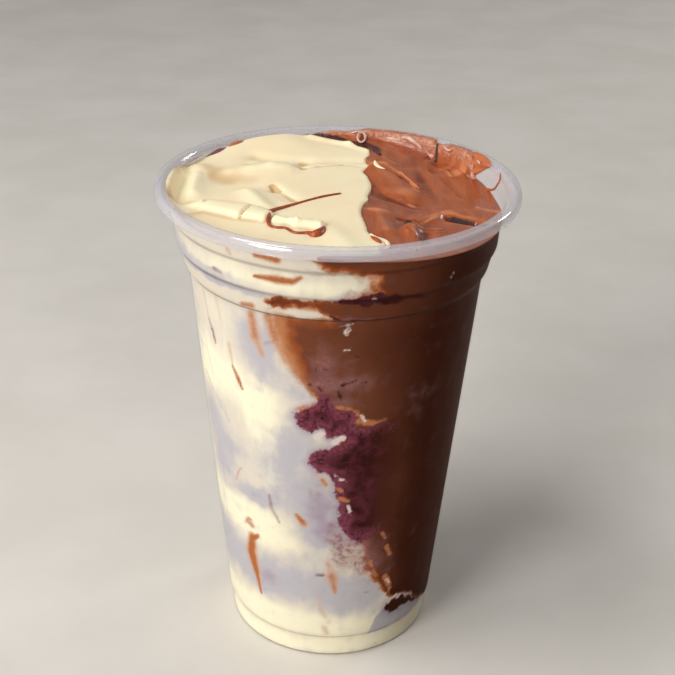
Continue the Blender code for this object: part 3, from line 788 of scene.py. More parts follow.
MAUVE_STROKES = (
    (-57.6, 101, -56, 98.5, 0.4, 0.7, 0.7), (-56, 98.5, -54.4, 95, 0.7, 0.4, 0.85),
    (-29.2, 54, -28.4, 50, 0.4, 0.7, 0.7), (-28.4, 50, -24.6, 45.8, 0.8, 0.5, 0.6),
    (-63.5, 62, -61, 50, 0.8, 0.8, 0.3), (-69, 82.5, -60, 77.5, 0.5, 0.4, 0.5),
    (-60, 77.5, -50, 72.5, 0.5, 0.5, 0.35), (-45, 119.2, -41, 119, 0.5, 0.5, 0.75),
    (-49, 118.6, -47, 118.6, 0.3, 0.3, 0.5), (-62, 116.8, -44, 115.9, 0.5, 0.5, 0.4),
    (-27, 101, -23, 102, 0.7, 0.6, 0.45), (-24.5, 111.6, -22.6, 112.4, 0.8, 0.8, 0.35),
    (-6, 29.8, -3.2, 29.9, 0.55, 0.5, 1), (-2.8, 30.2, -1.8, 30.6, 0.3, 0.2, 0.6),
    (-21.5, 32, -18, 30, 0.4, 0.4, 0.35), (-15, 29.5, -9, 27, 0.5, 0.3, 0.3),
    (18.6, 22.8, 20.8, 22.6, 0.45, 0.4, 0.7), (4, 40.4, 6, 39.4, 0.4, 0.4, 0.6),
    (-8, 123.2, 0, 123.6, 0.4, 0.4, 0.35), (-10, 125, -3, 123.8, 0.4, 0.4, 0.35),
    (-47, 40, -45, 42.4, 0.5, 0.5, 0.35), (-40, 40.5, -36.5, 41, 0.6, 0.4, 0.3),
    (-31, 72, -29, 66, 0.7, 0.6, 0.2),
)
STROKE_CRISPNESS = 0.7
# Soft patches: angle, height, half width and half height in millimetres, strength
LAVENDER_PATCHES = (
    (-15, 73, 8, 9, 0.85), (-22, 65, 10, 6, 0.55), (-5, 53, 5.5, 7, 1.7), (-3, 44, 6, 5, 1.5),
    (-17, 56, 9, 6, 0.6), (-66, 70, 9, 8, 0.8), (-60, 57, 9, 7, 0.75), (-36.5, 52, 6, 2.6, 1.5),
    (-50, 64.5, 5, 3, 0.6), (-60, 30, 12, 7, 0.7), (-50, 24, 12, 5, 0.5), (-20, 26, 13, 6.5, 0.95),
    (7, 22, 10, 7, 0.7), (18, 22, 8, 6, 0.85), (-34, 24, 6, 6, 0.7), (-30, 100, 5, 7, 0.8),
    (-24, 92, 9, 5, 0.55), (-38, 103, 4, 7, 0.5), (-24, 103, 3, 5, 0.8), (-60, 116.4, 20, 1.3, 1.1),
    (-40, 115.4, 14, 0.9, 0.9), (-74, 119.5, 9, 3, 0.8), (-50, 118.6, 14, 1, 0.7),
    (-72, 98, 6, 14, 0.35), (-76, 30, 8, 16, 0.5), (-12, 35, 10, 3, 0.3), (-12, 88, 6, 3, 0.5),
)
WARM_PATCHES = (
    (-48, 86, 16, 7, 0.9), (-30, 77, 6, 10, 1), (-27, 62, 3, 8, 0.6), (-62, 43, 16, 5, 1),
    (-38, 45, 12, 4, 0.8), (-28, 38, 14, 4, 0.7), (-66, 88, 8, 8, 0.8), (-40, 12, 34, 5, 0.9),
    (-10, 11, 16, 4, 0.6), (-36, 121, 24, 3, 0.5), (-6, 119.5, 14, 2.4, 0.6), (-52, 105, 8, 6, 0.4),
    (0, 3, 200, 3, 1),
)
MOTTLED_PATCHES = (
    (12, 36, 6, 5, 1.25), (8, 40, 4, 3, 0.7), (1, 45, 3, 5, 0.6), (-4, 98, 4, 5, 0.8),
    (6, 92, 6, 2.4, 1), (-5, 91, 4, 2, 0.8), (24, 33, 5, 9, 0.3), (-6, 58, 4, 4, 0.3),
    (36, 84, 5, 5, 0.4), (5, 110.5, 6, 1, 0.8), (9, 58, 5, 5, 0.6), (4, 86, 4, 2.5, 0.7),
)
# Light and dark bits, as the strokes but without strength
PALE_BITS = (
    (0.8, 74.2, 4.2, 75.4, 0.8, 0.8), (-6.6, 75.6, -3.4, 77, 0.8, 0.4),
    (1.6, 64.2, 4, 62.4, 0.2, 0.35), (4, 62.4, 6.8, 61.8, 0.35, 0.15),
    (8, 53.6, 9.2, 50.4, 0.4, 0.15), (1.6, 108.6, 6.4, 109, 0.2, 0.2),
    (3, 107.6, 4.2, 106.2, 0.25, 0.4), (4.6, 108.2, 6, 107.2, 0.2, 0.15),
    (3.4, 101.6, 5.4, 101.8, 0.25, 0.2), (11.4, 82.6, 13, 80.4, 0.35, 0.5),
    (41, 119, 42.2, 120.2, 0.3, 0.2), (30.2, 25.6, 32, 24.4, 0.4, 0.3),
    (33.4, 16.4, 34.6, 17.8, 0.4, 0.3), (36, 17.6, 38, 18.2, 0.25, 0.3),
    (39.4, 16.8, 41.6, 17.6, 0.5, 0.3), (44.4, 16.6, 46, 15.4, 0.2, 0.15),
    (12.6, 117.2, 13, 117, 0.2, 0.2), (19.8, 30.2, 21.4, 28.8, 0.25, 0.2),
)
PEACH_BITS = (
    (-14.4, 83.4, -8.6, 84.9, 0.5, 0.45), (-8.6, 84.9, -6.8, 86, 0.4, 0.3),
    (1.6, 85.2, 3.2, 84.8, 0.45, 0.45), (5.4, 84.6, 9.4, 83.6, 0.35, 0.35),
    (9.4, 83.4, 11.4, 81.4, 0.4, 0.5), (10.4, 80.2, 16, 79.6, 0.9, 0.95),
    (16, 79.6, 22, 80, 0.6, 0.2), (2.6, 59.4, 4.4, 58.4, 0.5, 0.5),
    (4.4, 56.2, 7.8, 55.2, 0.7, 0.5), (28.4, 37.6, 30.6, 34.6, 0.7, 0.6),
    (25.6, 42.6, 26.8, 41, 0.7, 0.5), (29.4, 26.6, 32.4, 23.4, 0.9, 0.8),
    (33, 22, 32.6, 20.4, 0.6, 0.3), (22, 30, 24, 28, 0.6, 0.5), (20.4, 33.4, 21.8, 31.4, 0.5, 0.4),
    (10.6, 122.9, 14.4, 122.6, 0.7, 0.6), (12.2, 121.4, 13.6, 119.6, 0.7, 0.5),
)
DARK_BITS = (
    (-1, 111.6, 1.4, 110.6, 0.5, 0.35), (4.4, 110.6, 10.6, 110.3, 0.3, 0.3),
    (3.2, 91.4, 6, 92.2, 0.5, 0.35), (6, 92, 8.4, 92.8, 0.35, 0.35),
    (10.4, 92.2, 12.6, 92.2, 0.25, 0.35), (2, 89.6, 3, 87.6, 0.3, 0.25),
    (-7, 96, -6.4, 95.4, 0.25, 0.25), (-4, 96.2, -2.4, 95.8, 0.25, 0.25),
    (-5.6, 90.4, -4.6, 89.6, 0.35, 0.3), (-9.4, 91.4, -8.8, 91, 0.3, 0.3),
    (15.6, 99.2, 16.6, 98.8, 0.25, 0.25), (29.2, 105.6, 30.2, 105.4, 0.3, 0.25),
    (8.4, 99.8, 9, 99.6, 0.2, 0.2),
)
# Width of the orange edge of the chocolate, by height
ORANGE_WIDTH = (
    (0, 0.2), (18, 0.5), (30, 1.3), (38, 0.7), (60, 0.5), (86, 0.5), (91, 1.6), (98, 3.4),
    (108, 3.6), (111, 1.2), (114, 0.5), (117, 0.4), (119, 1.5), (123, 1.2), (130, 1),
)
# Size of the edges' wavering, how far it moves them up and round in millimetres, and where it ends
WAVER_SIZE = 5.0
WAVER_UP = 0.35
WAVER_ROUND = 0.4
WAVER_END = 176.0
LOW_LAVENDER_SOFT = 0.8
LOW_LAVENDER_SHARE = 1.3
# The back's marks: seed and angles. Beyond the limit the edges blend into where the creams meet.
BACK_SEED = 31
BACK_FROM = 96.0
BACK_TO = 172.0
FRONT_LIMIT = 86.0
FRONT_BLEND = 14.0
# Shade round the right of the foot: share, angles where it starts and ends, over how many degrees,
# the height it ends at, and over how many millimetres
DIM = 0.5
DIM_START = 12.0
DIM_LENGTH = 50.0
DIM_END = 160.0
DIM_LEVEL = 18.0
DIM_RISE = 4.0
# Where the acai fades into the chocolate: angle, length round the wall and the heights between
ACAI_FADE_START = 14.0
ACAI_FADE = 24.0
ACAI_FADE_FROM = 30.0
ACAI_FADE_TO = 100.0


def wavering(u, z, seed, size, reach, count=7):
    """A smooth random shift of about this reach, by place on the wall."""
    draw = np.random.default_rng(seed)
    found = np.zeros(np.shape(u))
    for _ in range(count):
        way, length = draw.uniform(0.0, 2.0 * math.pi), size * draw.uniform(0.6, 1.7)
        phase = draw.uniform(0.0, 2.0 * math.pi)
        found += np.sin(2.0 * math.pi * (u * math.cos(way) + z * math.sin(way)) / length + phase)
    return found * reach / math.sqrt(count)


def wall_plane(theta, z):
    """Distance round the wall from the front, at each angle and height."""
    return np.radians(theta) * radius_inside(z, 0.0)


def signed(theta, z, area):
    """Distance from each point of the wall to an area's edge, above zero inside it."""
    u = wall_plane(theta, z)
    corners = np.array(area)
    across = wall_plane(corners[:, 0], corners[:, 1])
    best = np.full(u.shape, 1e9)
    inside = np.zeros(u.shape, bool)
    for k in range(len(corners)):
        u0, z0, u1, z1 = across[k - 1], corners[k - 1, 1], across[k], corners[k, 1]
        best = np.minimum(best, beside(u, z, u0, z0, u1, z1)[1])
        crosses = (z0 > z) != (z1 > z)
        where = u0 + (z - z0) * (u1 - u0) / (z1 - z0 if z1 != z0 else 1.0)
        inside ^= crosses & (u < where)
    return np.where(inside, best, -best)


def stroked(theta, z, row):
    """Distance of each point from a stroke's line, and the stroke's half width beside it."""
    turn0, z0, turn1, z1, half0, half1 = row[:6]
    u0, u1 = wall_plane(turn0, z0), wall_plane(turn1, z1)
    share, away = beside(wall_plane(theta, z), z, u0, z0, u1, z1)
    return away, half0 + (half1 - half0) * share


def brushed(theta, z, rows):
    """How strong a set of strokes is at each point."""
    found = np.zeros(np.shape(theta))
    for row in rows:
        away, half = stroked(theta, z, row)
        found = np.maximum(found, row[6] * np.exp(-((away / half) ** 2) * STROKE_CRISPNESS))
    return found


def bits(theta, z, rows):
    """Distance into the nearest of a set of bits, above zero inside it."""
    found = np.full(np.shape(theta), -9.0)
    for row in rows:
        away, half = stroked(theta, z, row)
        found = np.maximum(found, half - away)
    return found


def patched(theta, z, rows):
    """Sum of soft patches at each point."""
    found = np.zeros(np.shape(theta))
    for turn, level, wide, tall, strength in rows:
        across = wall_plane(theta, z) - wall_plane(turn, level)
        found += strength * np.exp(-((across / wide) ** 2) - ((z - level) / tall) ** 2)
    return found


def back_marks():
    """Marks round the back in the manner of the front's, from one seeded draw."""
    draw = np.random.default_rng(BACK_SEED)

    def strokes(count, side, low, high, length, wide, strength):
        found = []
        for _ in range(count):
            turn = side * draw.uniform(BACK_FROM, BACK_TO)
            level = draw.uniform(low, high)
            reach = length * draw.uniform(0.5, 1.2)
            lean = draw.uniform(-6.0, 6.0)
            half = wide * draw.uniform(0.6, 1.4)
            share = strength * draw.uniform(0.6, 1.0)
            found.append((turn, level, turn + lean, level - reach, half * 0.5, half, share))
        return found

    def patches(count, side, low, high, wide, tall, strength):
        return [
            (
                side * draw.uniform(BACK_FROM, BACK_TO),
                draw.uniform(low, high),
                wide * draw.uniform(0.6, 1.3),
                tall * draw.uniform(0.6, 1.3),
                strength * draw.uniform(0.6, 1.1),
            )
            for _ in range(count)
        ]

    return {
        "tan": strokes(9, -1.0, 20.0, 108.0, 9.0, 0.9, 0.9)
        + strokes(4, -1.0, 113.0, 126.0, 1.2, 0.6, 0.8),
        "mauve": strokes(9, -1.0, 18.0, 108.0, 7.0, 0.7, 0.6),
        "lavender": patches(12, -1.0, 12.0, 112.0, 9.0, 7.0, 0.9),
        "warm": patches(9, -1.0, 8.0, 124.0, 11.0, 6.0, 0.8),
        "mottled": patches(7, 1.0, 24.0, 112.0, 5.0, 4.0, 0.9),
        "acai": [row[:6] for row in strokes(7, 1.0, 30.0, 112.0, 8.0, 2.6, 1.0)],
        "peach": [row[:6] for row in strokes(7, 1.0, 24.0, 112.0, 2.5, 0.5, 1.0)],
    }


def wall_marks(spots):
    """The marks at each point of the food's outside, by the name that the material reads."""
    x, y, level = spots.T
    turn = np.degrees(np.arctan2(x, -y))
    u = wall_plane(turn, level)
    z = level + wavering(u, level, 1, WAVER_SIZE, WAVER_UP)
    shift = wavering(u, level, 2, WAVER_SIZE, WAVER_ROUND) / radius_inside(level, 0.0)
    theta = np.where(np.abs(turn) > WAVER_END, turn, turn + np.degrees(shift))
    back = back_marks()
    behind = smooth((np.abs(theta) - FRONT_LIMIT) / FRONT_BLEND)
    chocolate = signed(theta, z, CHOCOLATE_AREA) * (1.0 - behind) + (x - meeting(y, level)) * behind
    acai = np.max([signed(theta, z, area) for area in ACAI_AREAS], axis=0)
    low = signed(theta, z, LOW_LAVENDER_AREA)
    fading = (level > ACAI_FADE_FROM) * (level < ACAI_FADE_TO)
    return {
        "chocolate": chocolate,
        "acai": np.maximum(acai, bits(theta, z, back["acai"]) - 0.4),
        "tan": brushed(turn, level, TAN_STROKES + tuple(back["tan"])),
        "mauve": brushed(turn, level, MAUVE_STROKES + tuple(back["mauve"])),
        "lavender": np.maximum(
            patched(theta, z, LAVENDER_PATCHES + tuple(back["lavender"])),
            smooth(0.5 + low / LOW_LAVENDER_SOFT) * LOW_LAVENDER_SHARE,
        ),
        "warm": patched(theta, z, WARM_PATCHES + tuple(back["warm"])),
        "mottled": patched(theta, z, MOTTLED_PATCHES + tuple(back["mottled"])),
        "pale": bits(turn, level, PALE_BITS),
        "peach": bits(turn, level, PEACH_BITS + tuple(back["peach"])),
        "dark": bits(turn, level, DARK_BITS),
        "orange_width": along(ORANGE_WIDTH, z),
        "turn": np.abs(turn),
        "level": level,
        "dim": DIM
        * smooth((turn - DIM_START) / DIM_LENGTH)
        * smooth((DIM_END - turn) / DIM_LENGTH)
        * smooth((DIM_LEVEL - level) / DIM_RISE),
        "fade": smooth((turn - ACAI_FADE_START) / ACAI_FADE) * fading,
    }


# ---------------- materials


def rgb(red, green, blue):
    """A colour of 0 to 255 as the linear colour that a shader takes."""
    found = []
    for part in (red, green, blue):
        part /= 255.0
        found.append(part / 12.92 if part <= 0.04045 else ((part + 0.055) / 1.055) ** 2.4)
    return tuple(found)


CREAM = rgb(224, 213, 195)
WARM_CREAM = rgb(251, 242, 211)
LAVENDER = rgb(191, 186, 189)
DEEP_LAVENDER = rgb(168, 150, 164)
TAN = rgb(178, 104, 56)
LIGHT_TAN = rgb(206, 168, 142)
MAUVE = rgb(140, 98, 102)
ORANGE = rgb(160, 86, 47)
LIGHT_ORANGE = rgb(190, 134, 92)
COCOA = rgb(116, 66, 45)
DARK_COCOA = rgb(64, 25, 8)
RED_COCOA = rgb(136, 62, 26)
ACAI = rgb(90, 40, 47)
ACAI_BRIGHT = rgb(132, 66, 82)
ACAI_DEEP = rgb(54, 22, 20)
PALE = rgb(226, 208, 200)
PEACH = rgb(200, 126, 84)
MOTTLE = rgb(160, 122, 118)
STEP_SHADE = rgb(150, 140, 142)
CREAM_TOP = rgb(255, 236, 197)
CREAM_TOP_LOW = rgb(253, 229, 188)
CREAM_LIT = rgb(255, 240, 200)
CREAM_SHADED = rgb(208, 172, 120)
CHOCOLATE = rgb(174, 90, 48)
CHOCOLATE_DEEP = rgb(154, 74, 36)
CHOCOLATE_LIGHT = rgb(192, 108, 64)
CHOCOLATE_LIT = rgb(208, 130, 86)
CHOCOLATE_SHADED = rgb(104, 44, 20)
CHOCOLATE_SLIT_SHADOW = rgb(48, 14, 3)
FILM = rgb(190, 112, 74)
FILM_THIN_AND_SHEEN = rgb(208, 156, 128)
FILM_PALE_AND_GLINT = rgb(218, 190, 180)
PURPLE_STRIP = rgb(66, 20, 16)
SAUCE = rgb(178, 84, 38)
PLASTIC = rgb(226, 222, 229)
FLOOR = rgb(222, 216, 208)

# Looks of the thin sauces and smears: name, tint, deep tint and roughness
SPREADS = (
    ("sauce", SAUCE, rgb(138, 56, 20), 0.36),
    ("cream_spot", CREAM_TOP, CREAM_TOP_LOW, 0.38),
    ("orange_spot", rgb(196, 124, 78), rgb(176, 98, 58), 0.4),
    ("purple_spot", rgb(150, 96, 108), rgb(124, 70, 84), 0.4),
    ("pale_spot", rgb(206, 196, 200), rgb(182, 168, 178), 0.4),
    ("curl_spot", FILM, CHOCOLATE, 0.18),
    ("lobe_spot", FILM, CHOCOLATE_LIGHT, 0.22),
    # The rolls' pale tint is partly thin film and partly painted glint.
    ("pale_film_and_glint", FILM_PALE_AND_GLINT, FILM_THIN_AND_SHEEN, 0.1),
)
# Shades that the cup's bends cast on the food: height, half width and strength
STEP_SHADES = ((6.9, 0.5, 0.45), (110.1, 0.55, 0.8), (116.4, 1, 0.55), (123.9, 0.9, 0.45))


class Graph:
    """Short calls that build one material's nodes."""

    def __init__(self, name):
        self.material = bpy.data.materials.new(name)
        self.material.use_nodes = True
        self.tree = self.material.node_tree
        self.tree.nodes.clear()
        self.spot = self.add("ShaderNodeTexCoord").outputs["Object"]

    def add(self, kind, **settings):
        node = self.tree.nodes.new(kind)
        for name, value in settings.items():
            setattr(node, name, value)
        return node

    def put(self, socket, value):
        if isinstance(value, bpy.types.NodeSocket):
            self.tree.links.new(value, socket)
        elif isinstance(value, tuple) and socket.type == "RGBA":
            socket.default_value = (*value, 1.0)
        else:
            socket.default_value = value

    def math(self, operation, a, b=0.0, clamp=False):
        node = self.add("ShaderNodeMath", operation=operation, use_clamp=clamp)
        self.put(node.inputs[0], a)
        self.put(node.inputs[1], b)
        return node.outputs[0]

    def plus(self, a, b, clamp=False):
        return self.math("ADD", a, b, clamp)

    def less(self, a, b, clamp=False):
        return self.math("SUBTRACT", a, b, clamp)

    def times(self, a, b):
        return self.math("MULTIPLY", a, b)

    def swing(self, value, reach):
        """A value about 0.5 turned into one about 0, this many times as large."""
        return self.times(self.less(value, 0.5), reach)

    def mix(self, share, a, b, blend="MIX"):
        node = self.add("ShaderNodeMix", data_type="RGBA", blend_type=blend)
        self.put(node.inputs[0], share)
        self.put(node.inputs[6], a)
        self.put(node.inputs[7], b)
        return node.outputs[2]

    def step(self, value, low, high, top=1.0):
        """Eased 0 to top as a value goes from low to high, which may be sockets."""
        node = self.add("ShaderNodeMapRange", interpolation_type="SMOOTHSTEP")
        for socket, given in zip(node.inputs, (value, low, high, 0.0, top)):
            self.put(socket, given)
        return node.outputs[0]

    def noise(self, size, detail=3.0, roughness=0.55, distortion=0.0, vector=None):
        """Noise of about this size in millimetres."""
        node = self.add("ShaderNodeTexNoise")
        self.put(node.inputs["Vector"], vector or self.spot)
        self.put(node.inputs["Scale"], 1000.0 / size)
        self.put(node.inputs["Detail"], detail)
        self.put(node.inputs["Roughness"], roughness)
        self.put(node.inputs["Distortion"], distortion)
        return node.outputs[0]

    def shaken(self, size, reach, **settings):
        """Noise turned into a shift of up to about this far either way."""
        return self.swing(self.noise(size, **settings), 4.0 * reach)

    def stretched(self, turn, factors):
        node = self.add("ShaderNodeMapping")
        self.put(node.inputs["Vector"], self.spot)
        node.inputs["Rotation"].default_value = (0.0, 0.0, math.radians(turn))
        node.inputs["Scale"].default_value = factors
        return node.outputs[0]

    def mark(self, name):
        return self.add("ShaderNodeAttribute", attribute_name=name).outputs["Fac"]

    def height(self):
        """Height above the ground, in metres."""
        node = self.add("ShaderNodeSeparateXYZ")
        self.put(node.inputs[0], self.spot)
        return node.outputs[2]

    def bump(self, height, distance):
        node = self.add("ShaderNodeBump")
        self.put(node.inputs["Height"], height)
        self.put(node.inputs["Distance"], distance * MM)
        self.put(node.inputs["Strength"], 1.0)
        return node.outputs[0]

    def principled(self, **sockets):
        node = self.add("ShaderNodeBsdfPrincipled")
        for name, value in sockets.items():
            self.put(node.inputs[name.replace("_", " ")], value)
        return node.outputs[0]

    def blend(self, share, a, b):
        node = self.add("ShaderNodeMixShader")
        for socket, value in zip(node.inputs, (share, a, b)):
            self.put(socket, value)
        return node.outputs[0]

    def finish(self, shader):
        out = self.add("ShaderNodeOutputMaterial")
        self.put(out.inputs["Surface"], shader)
        return self.material


def cream_at_wall(g, broad, mid, streaks):
    """Milk cream against the wall: off-white, with warm and lavender swirls."""
    lift = g.swing(streaks, 1.1)
    warm = g.plus(g.mark("warm"), g.plus(lift, g.swing(broad, 0.9)))
    haze = g.plus(g.mark("lavender"), g.swing(mid, 0.8))
    haze = g.plus(haze, g.swing(streaks, 0.9))
    colour = g.mix(g.step(warm, 0.0, 0.95), CREAM, WARM_CREAM)
    colour = g.mix(g.step(haze, 0.05, 0.95), colour, LAVENDER)
    colour = g.mix(g.step(haze, 1.15, 2.0, 0.8), colour, DEEP_LAVENDER)
    return g.mix(g.step(g.mark("acai"), -2.6, 0.4, 0.75), colour, DEEP_LAVENDER)


def chocolate_at_wall(g, edge, broad, mid, fine, grain):
    """Chocolate cream against the wall: redder near its edge, darker round to the right, partly its
    own colour and partly painted shade.
    """
    colour = g.mix(g.step(broad, 0.3, 0.7, 0.35), COCOA, DARK_COCOA)
    colour = g.mix(g.step(g.plus(edge, g.times(mid, 2.0)), 4.0, 0.5, 0.6), colour, RED_COCOA)
    # Darker round to the right: partly the chocolate's own colour, partly painted shade where less
    # light falls.
    turn = g.plus(g.mark("turn"), g.swing(broad, 24.0))
    colour = g.mix(g.step(turn, 6.0, 46.0), colour, DARK_COCOA)
    colour = g.mix(g.step(fine, 0.66, 0.76, 0.35), colour, ACAI_DEEP)
    return g.mix(g.step(grain, 0.7, 0.8, 0.16), colour, LIGHT_TAN)


def acai_at_wall(g, body, mid, fine, grain):
    """Acai against the wall: purple at its edge, brown where it fades into the chocolate."""
    colour = g.mix(g.step(mid, 0.35, 0.65), ACAI, ACAI_DEEP)
    near = g.times(g.step(body, 4.5, 0.5), g.step(g.mark("level"), 104.0, 92.0))
    colour = g.mix(g.times(near, g.step(fine, 0.25, 0.6)), colour, ACAI_BRIGHT)
    turn = g.plus(g.mark("turn"), g.swing(mid, 30.0))
    colour = g.mix(g.step(turn, 12.0, 36.0), colour, DARK_COCOA)
    colour = g.mix(g.step(fine, 0.6, 0.75, 0.3), colour, COCOA)
    return g.mix(g.step(grain, 0.68, 0.78, 0.3), colour, LAVENDER)


def wall_material():
    """Swirled creams, chocolate and acai as they press against the clear wall."""
    g = Graph("food_at_wall")
    broad = g.noise(16.0, detail=4.0)
    mid = g.noise(4.0, detail=5.0, roughness=0.6)
    fine = g.noise(1.1, detail=3.0)
    grain = g.noise(0.5, detail=2.0)
    upright = g.stretched(0.0, (1.0, 1.0, 0.3))
    streaks = g.noise(4.5, detail=5.0, roughness=0.6, distortion=0.5, vector=upright)
    wander = g.plus(g.shaken(4.0, 0.7, detail=5.0, roughness=0.65), g.shaken(1.0, 0.3, detail=4.0))
    frizz = g.plus(g.shaken(1.9, 0.8, detail=5.0, roughness=0.7), g.shaken(0.5, 0.25))

    colour = cream_at_wall(g, broad, mid, streaks)
    tan = g.times(g.mark("tan"), g.plus(g.times(frizz, 0.35), 1.0))
    colour = g.mix(g.step(tan, 0.02, 0.5, 0.9), colour, LIGHT_TAN)
    colour = g.mix(g.step(tan, 0.3, 0.95), colour, TAN)
    mauve = g.times(g.mark("mauve"), g.plus(g.times(frizz, 0.6), 1.0))
    colour = g.mix(g.step(mauve, 0.1, 0.95, 0.9), colour, MAUVE)

    edge = g.plus(g.mark("chocolate"), g.times(wander, 0.9))
    width = g.mark("orange_width")
    colour = g.mix(g.step(edge, g.times(width, -1.5), 0.0, 0.85), colour, LIGHT_ORANGE)
    colour = g.mix(g.step(edge, g.times(width, -0.7), g.times(width, 0.3)), colour, ORANGE)
    cocoa = chocolate_at_wall(g, edge, broad, mid, fine, grain)
    colour = g.mix(g.step(edge, -0.2, g.plus(g.times(width, 0.8), 0.4)), colour, cocoa)

    mottled = g.plus(g.mark("mottled"), g.swing(mid, 1.4))
    colour = g.mix(g.step(mottled, 0.0, 1.0, 0.45), colour, MOTTLE)
    purple = g.times(g.step(g.noise(1.7, detail=5.0), 0.4, 0.68), g.step(mottled, 0.2, 1.0, 0.7))
    colour = g.mix(purple, colour, ACAI_BRIGHT)
    peach = g.times(g.step(g.noise(1.2, detail=5.0), 0.5, 0.72), g.step(mottled, 0.4, 1.1, 0.55))
    colour = g.mix(peach, colour, PEACH)

    body = g.plus(g.mark("acai"), g.plus(frizz, g.times(wander, 0.3)))
    acai = acai_at_wall(g, body, mid, fine, grain)
    kept = g.less(1.0, g.times(g.mark("fade"), g.step(mid, 0.25, 0.6)), clamp=True)
    kept = g.times(kept, g.step(g.mark("fade"), 1.0, 0.5))
    colour = g.mix(g.times(g.step(body, -0.45, 0.35), kept), colour, acai)

    for name, tint, reach, strength in (
        ("peach", PEACH, 0.45, 0.85),
        ("pale", PALE, 0.3, 0.95),
        ("dark", ACAI_DEEP, 0.3, 0.85),
    ):
        spot = g.plus(g.mark(name), g.times(frizz, 0.7))
        colour = g.mix(g.step(spot, -reach, reach, strength), colour, tint)

    level = g.height()
    for height, half, strength in STEP_SHADES:
        off = g.math("ABSOLUTE", g.less(level, height * MM))
        colour = g.mix(g.step(off, half * MM, 0.0, strength), colour, STEP_SHADE, "MULTIPLY")
    colour = g.mix(g.mark("dim"), colour, STEP_SHADE, "MULTIPLY")
    shader = g.principled(
        Base_Color=colour,
        Roughness=0.5,
        Specular_IOR_Level=0.02,
        Subsurface_Weight=0.1,
        Subsurface_Radius=(1.0, 0.75, 0.55),
        Subsurface_Scale=1.2 * MM,
    )
    return g.finish(shader)


def lit_and_shaded(g, colour, lit, shaded, shake, reach=0.3):
    """The colour with painted light along a top's crests and painted shade in its hollows."""
    value = g.plus(g.mark("shade"), g.mark("hollow"))
    value = g.plus(value, g.times(g.less(shake, 0.5), reach))
    colour = g.mix(g.step(value, -0.1, -0.9, 0.85), colour, lit)
    return g.mix(g.step(value, 0.1, 1.1, 0.9), colour, shaded)


def cream_material():
    """Smooth satin cream on top."""
    g = Graph("cream_top")
    broad = g.noise(14.0, detail=3.0, distortion=0.4)
    mid = g.noise(3.0, detail=3.0)
    fine = g.noise(0.8)
    colour = g.mix(g.step(broad, 0.3, 0.75), CREAM_TOP_LOW, CREAM_TOP)
    colour = lit_and_shaded(g, colour, CREAM_LIT, CREAM_SHADED, mid, 0.15)
    height = g.plus(mid, g.times(fine, 0.1))
    shader = g.principled(
        Base_Color=colour,
        Roughness=g.plus(g.times(mid, 0.2), 0.32),
        Specular_IOR_Level=0.4,
        Subsurface_Weight=0.3,
        Subsurface_Radius=(1.0, 0.7, 0.4),
        Subsurface_Scale=1.4 * MM,
        Normal=g.bump(height, 0.02),
    )
    return g.finish(shader)


def chocolate_material():
    """Glossy chocolate cream with drawn-out streaks and painted light and shade on its folds, paler
    where it films the wall: partly thin film, partly painted sheen.
    """
    g = Graph("chocolate_top")
    drawn = g.noise(5.0, detail=5.0, distortion=1.2, vector=g.stretched(28.0, (1.0, 0.28, 1.0)))
    broad = g.noise(12.0, detail=3.0, distortion=0.8)
    fine = g.noise(0.9, detail=4.0, roughness=0.65)
    ridges = g.noise(2.2, detail=5.0, roughness=0.6, distortion=1.6)
    colour = g.mix(g.step(drawn, 0.36, 0.66), CHOCOLATE_DEEP, CHOCOLATE)
    colour = g.mix(g.step(broad, 0.52, 0.8, 0.5), colour, CHOCOLATE_LIGHT)
    colour = lit_and_shaded(g, colour, CHOCOLATE_LIT, CHOCOLATE_SHADED, drawn)
    film = g.plus(g.mark("film"), g.swing(ridges, 0.6))
    share = g.step(film, 0.15, 0.9)
    # Pale streaks on the film: partly thin film, partly painted sheen.
    colour = g.mix(share, colour, g.mix(g.step(ridges, 0.42, 0.64, 0.85), FILM, FILM_THIN_AND_SHEEN))
    # Painted shadow in the slit and the crack, where the shade mark is strongest.
    colour = g.mix(g.step(g.mark("shade"), 1.1, 2.1), colour, CHOCOLATE_SLIT_SHADOW)
    strip = g.plus(g.mark("strip"), g.shaken(1.4, 0.3, detail=4.0))
    colour = g.mix(g.step(strip, -0.35, 0.35), colour, PURPLE_STRIP)
    height = g.plus(g.times(drawn, 1.6), g.times(fine, 0.16))
    height = g.plus(height, g.times(g.times(ridges, g.mark("film")), 4.5))
    rough = g.less(g.step(fine, 0.1, 1.0, 0.42), g.times(g.mark("film"), 0.08))
    rough = g.plus(rough, g.step(g.mark("shade"), 0.8, 1.8, 0.5), clamp=True)
    shader = g.principled(
        Base_Color=colour,
        Roughness=rough,
        Specular_IOR_Level=0.6,
        Subsurface_Weight=0.08,
        Subsurface_Radius=(1.0, 0.5, 0.3),
        Subsurface_Scale=1.0 * MM,
        Normal=g.bump(height, 0.2),
    )
    return g.finish(shader)


def spread_material(name, tint, deep, roughness):
    """A thin sauce or smear."""
    g = Graph(name)
    mid = g.noise(1.8, detail=4.0, distortion=0.8)
    shader = g.principled(
        Base_Color=g.mix(g.step(mid, 0.35, 0.7), deep, tint),
        Roughness=roughness,
        Subsurface_Weight=0.1,
        Subsurface_Radius=(1.0, 0.6, 0.4),
        Subsurface_Scale=0.8 * MM,
        Normal=g.bump(mid, 0.1),
    )
    return g.finish(shader)


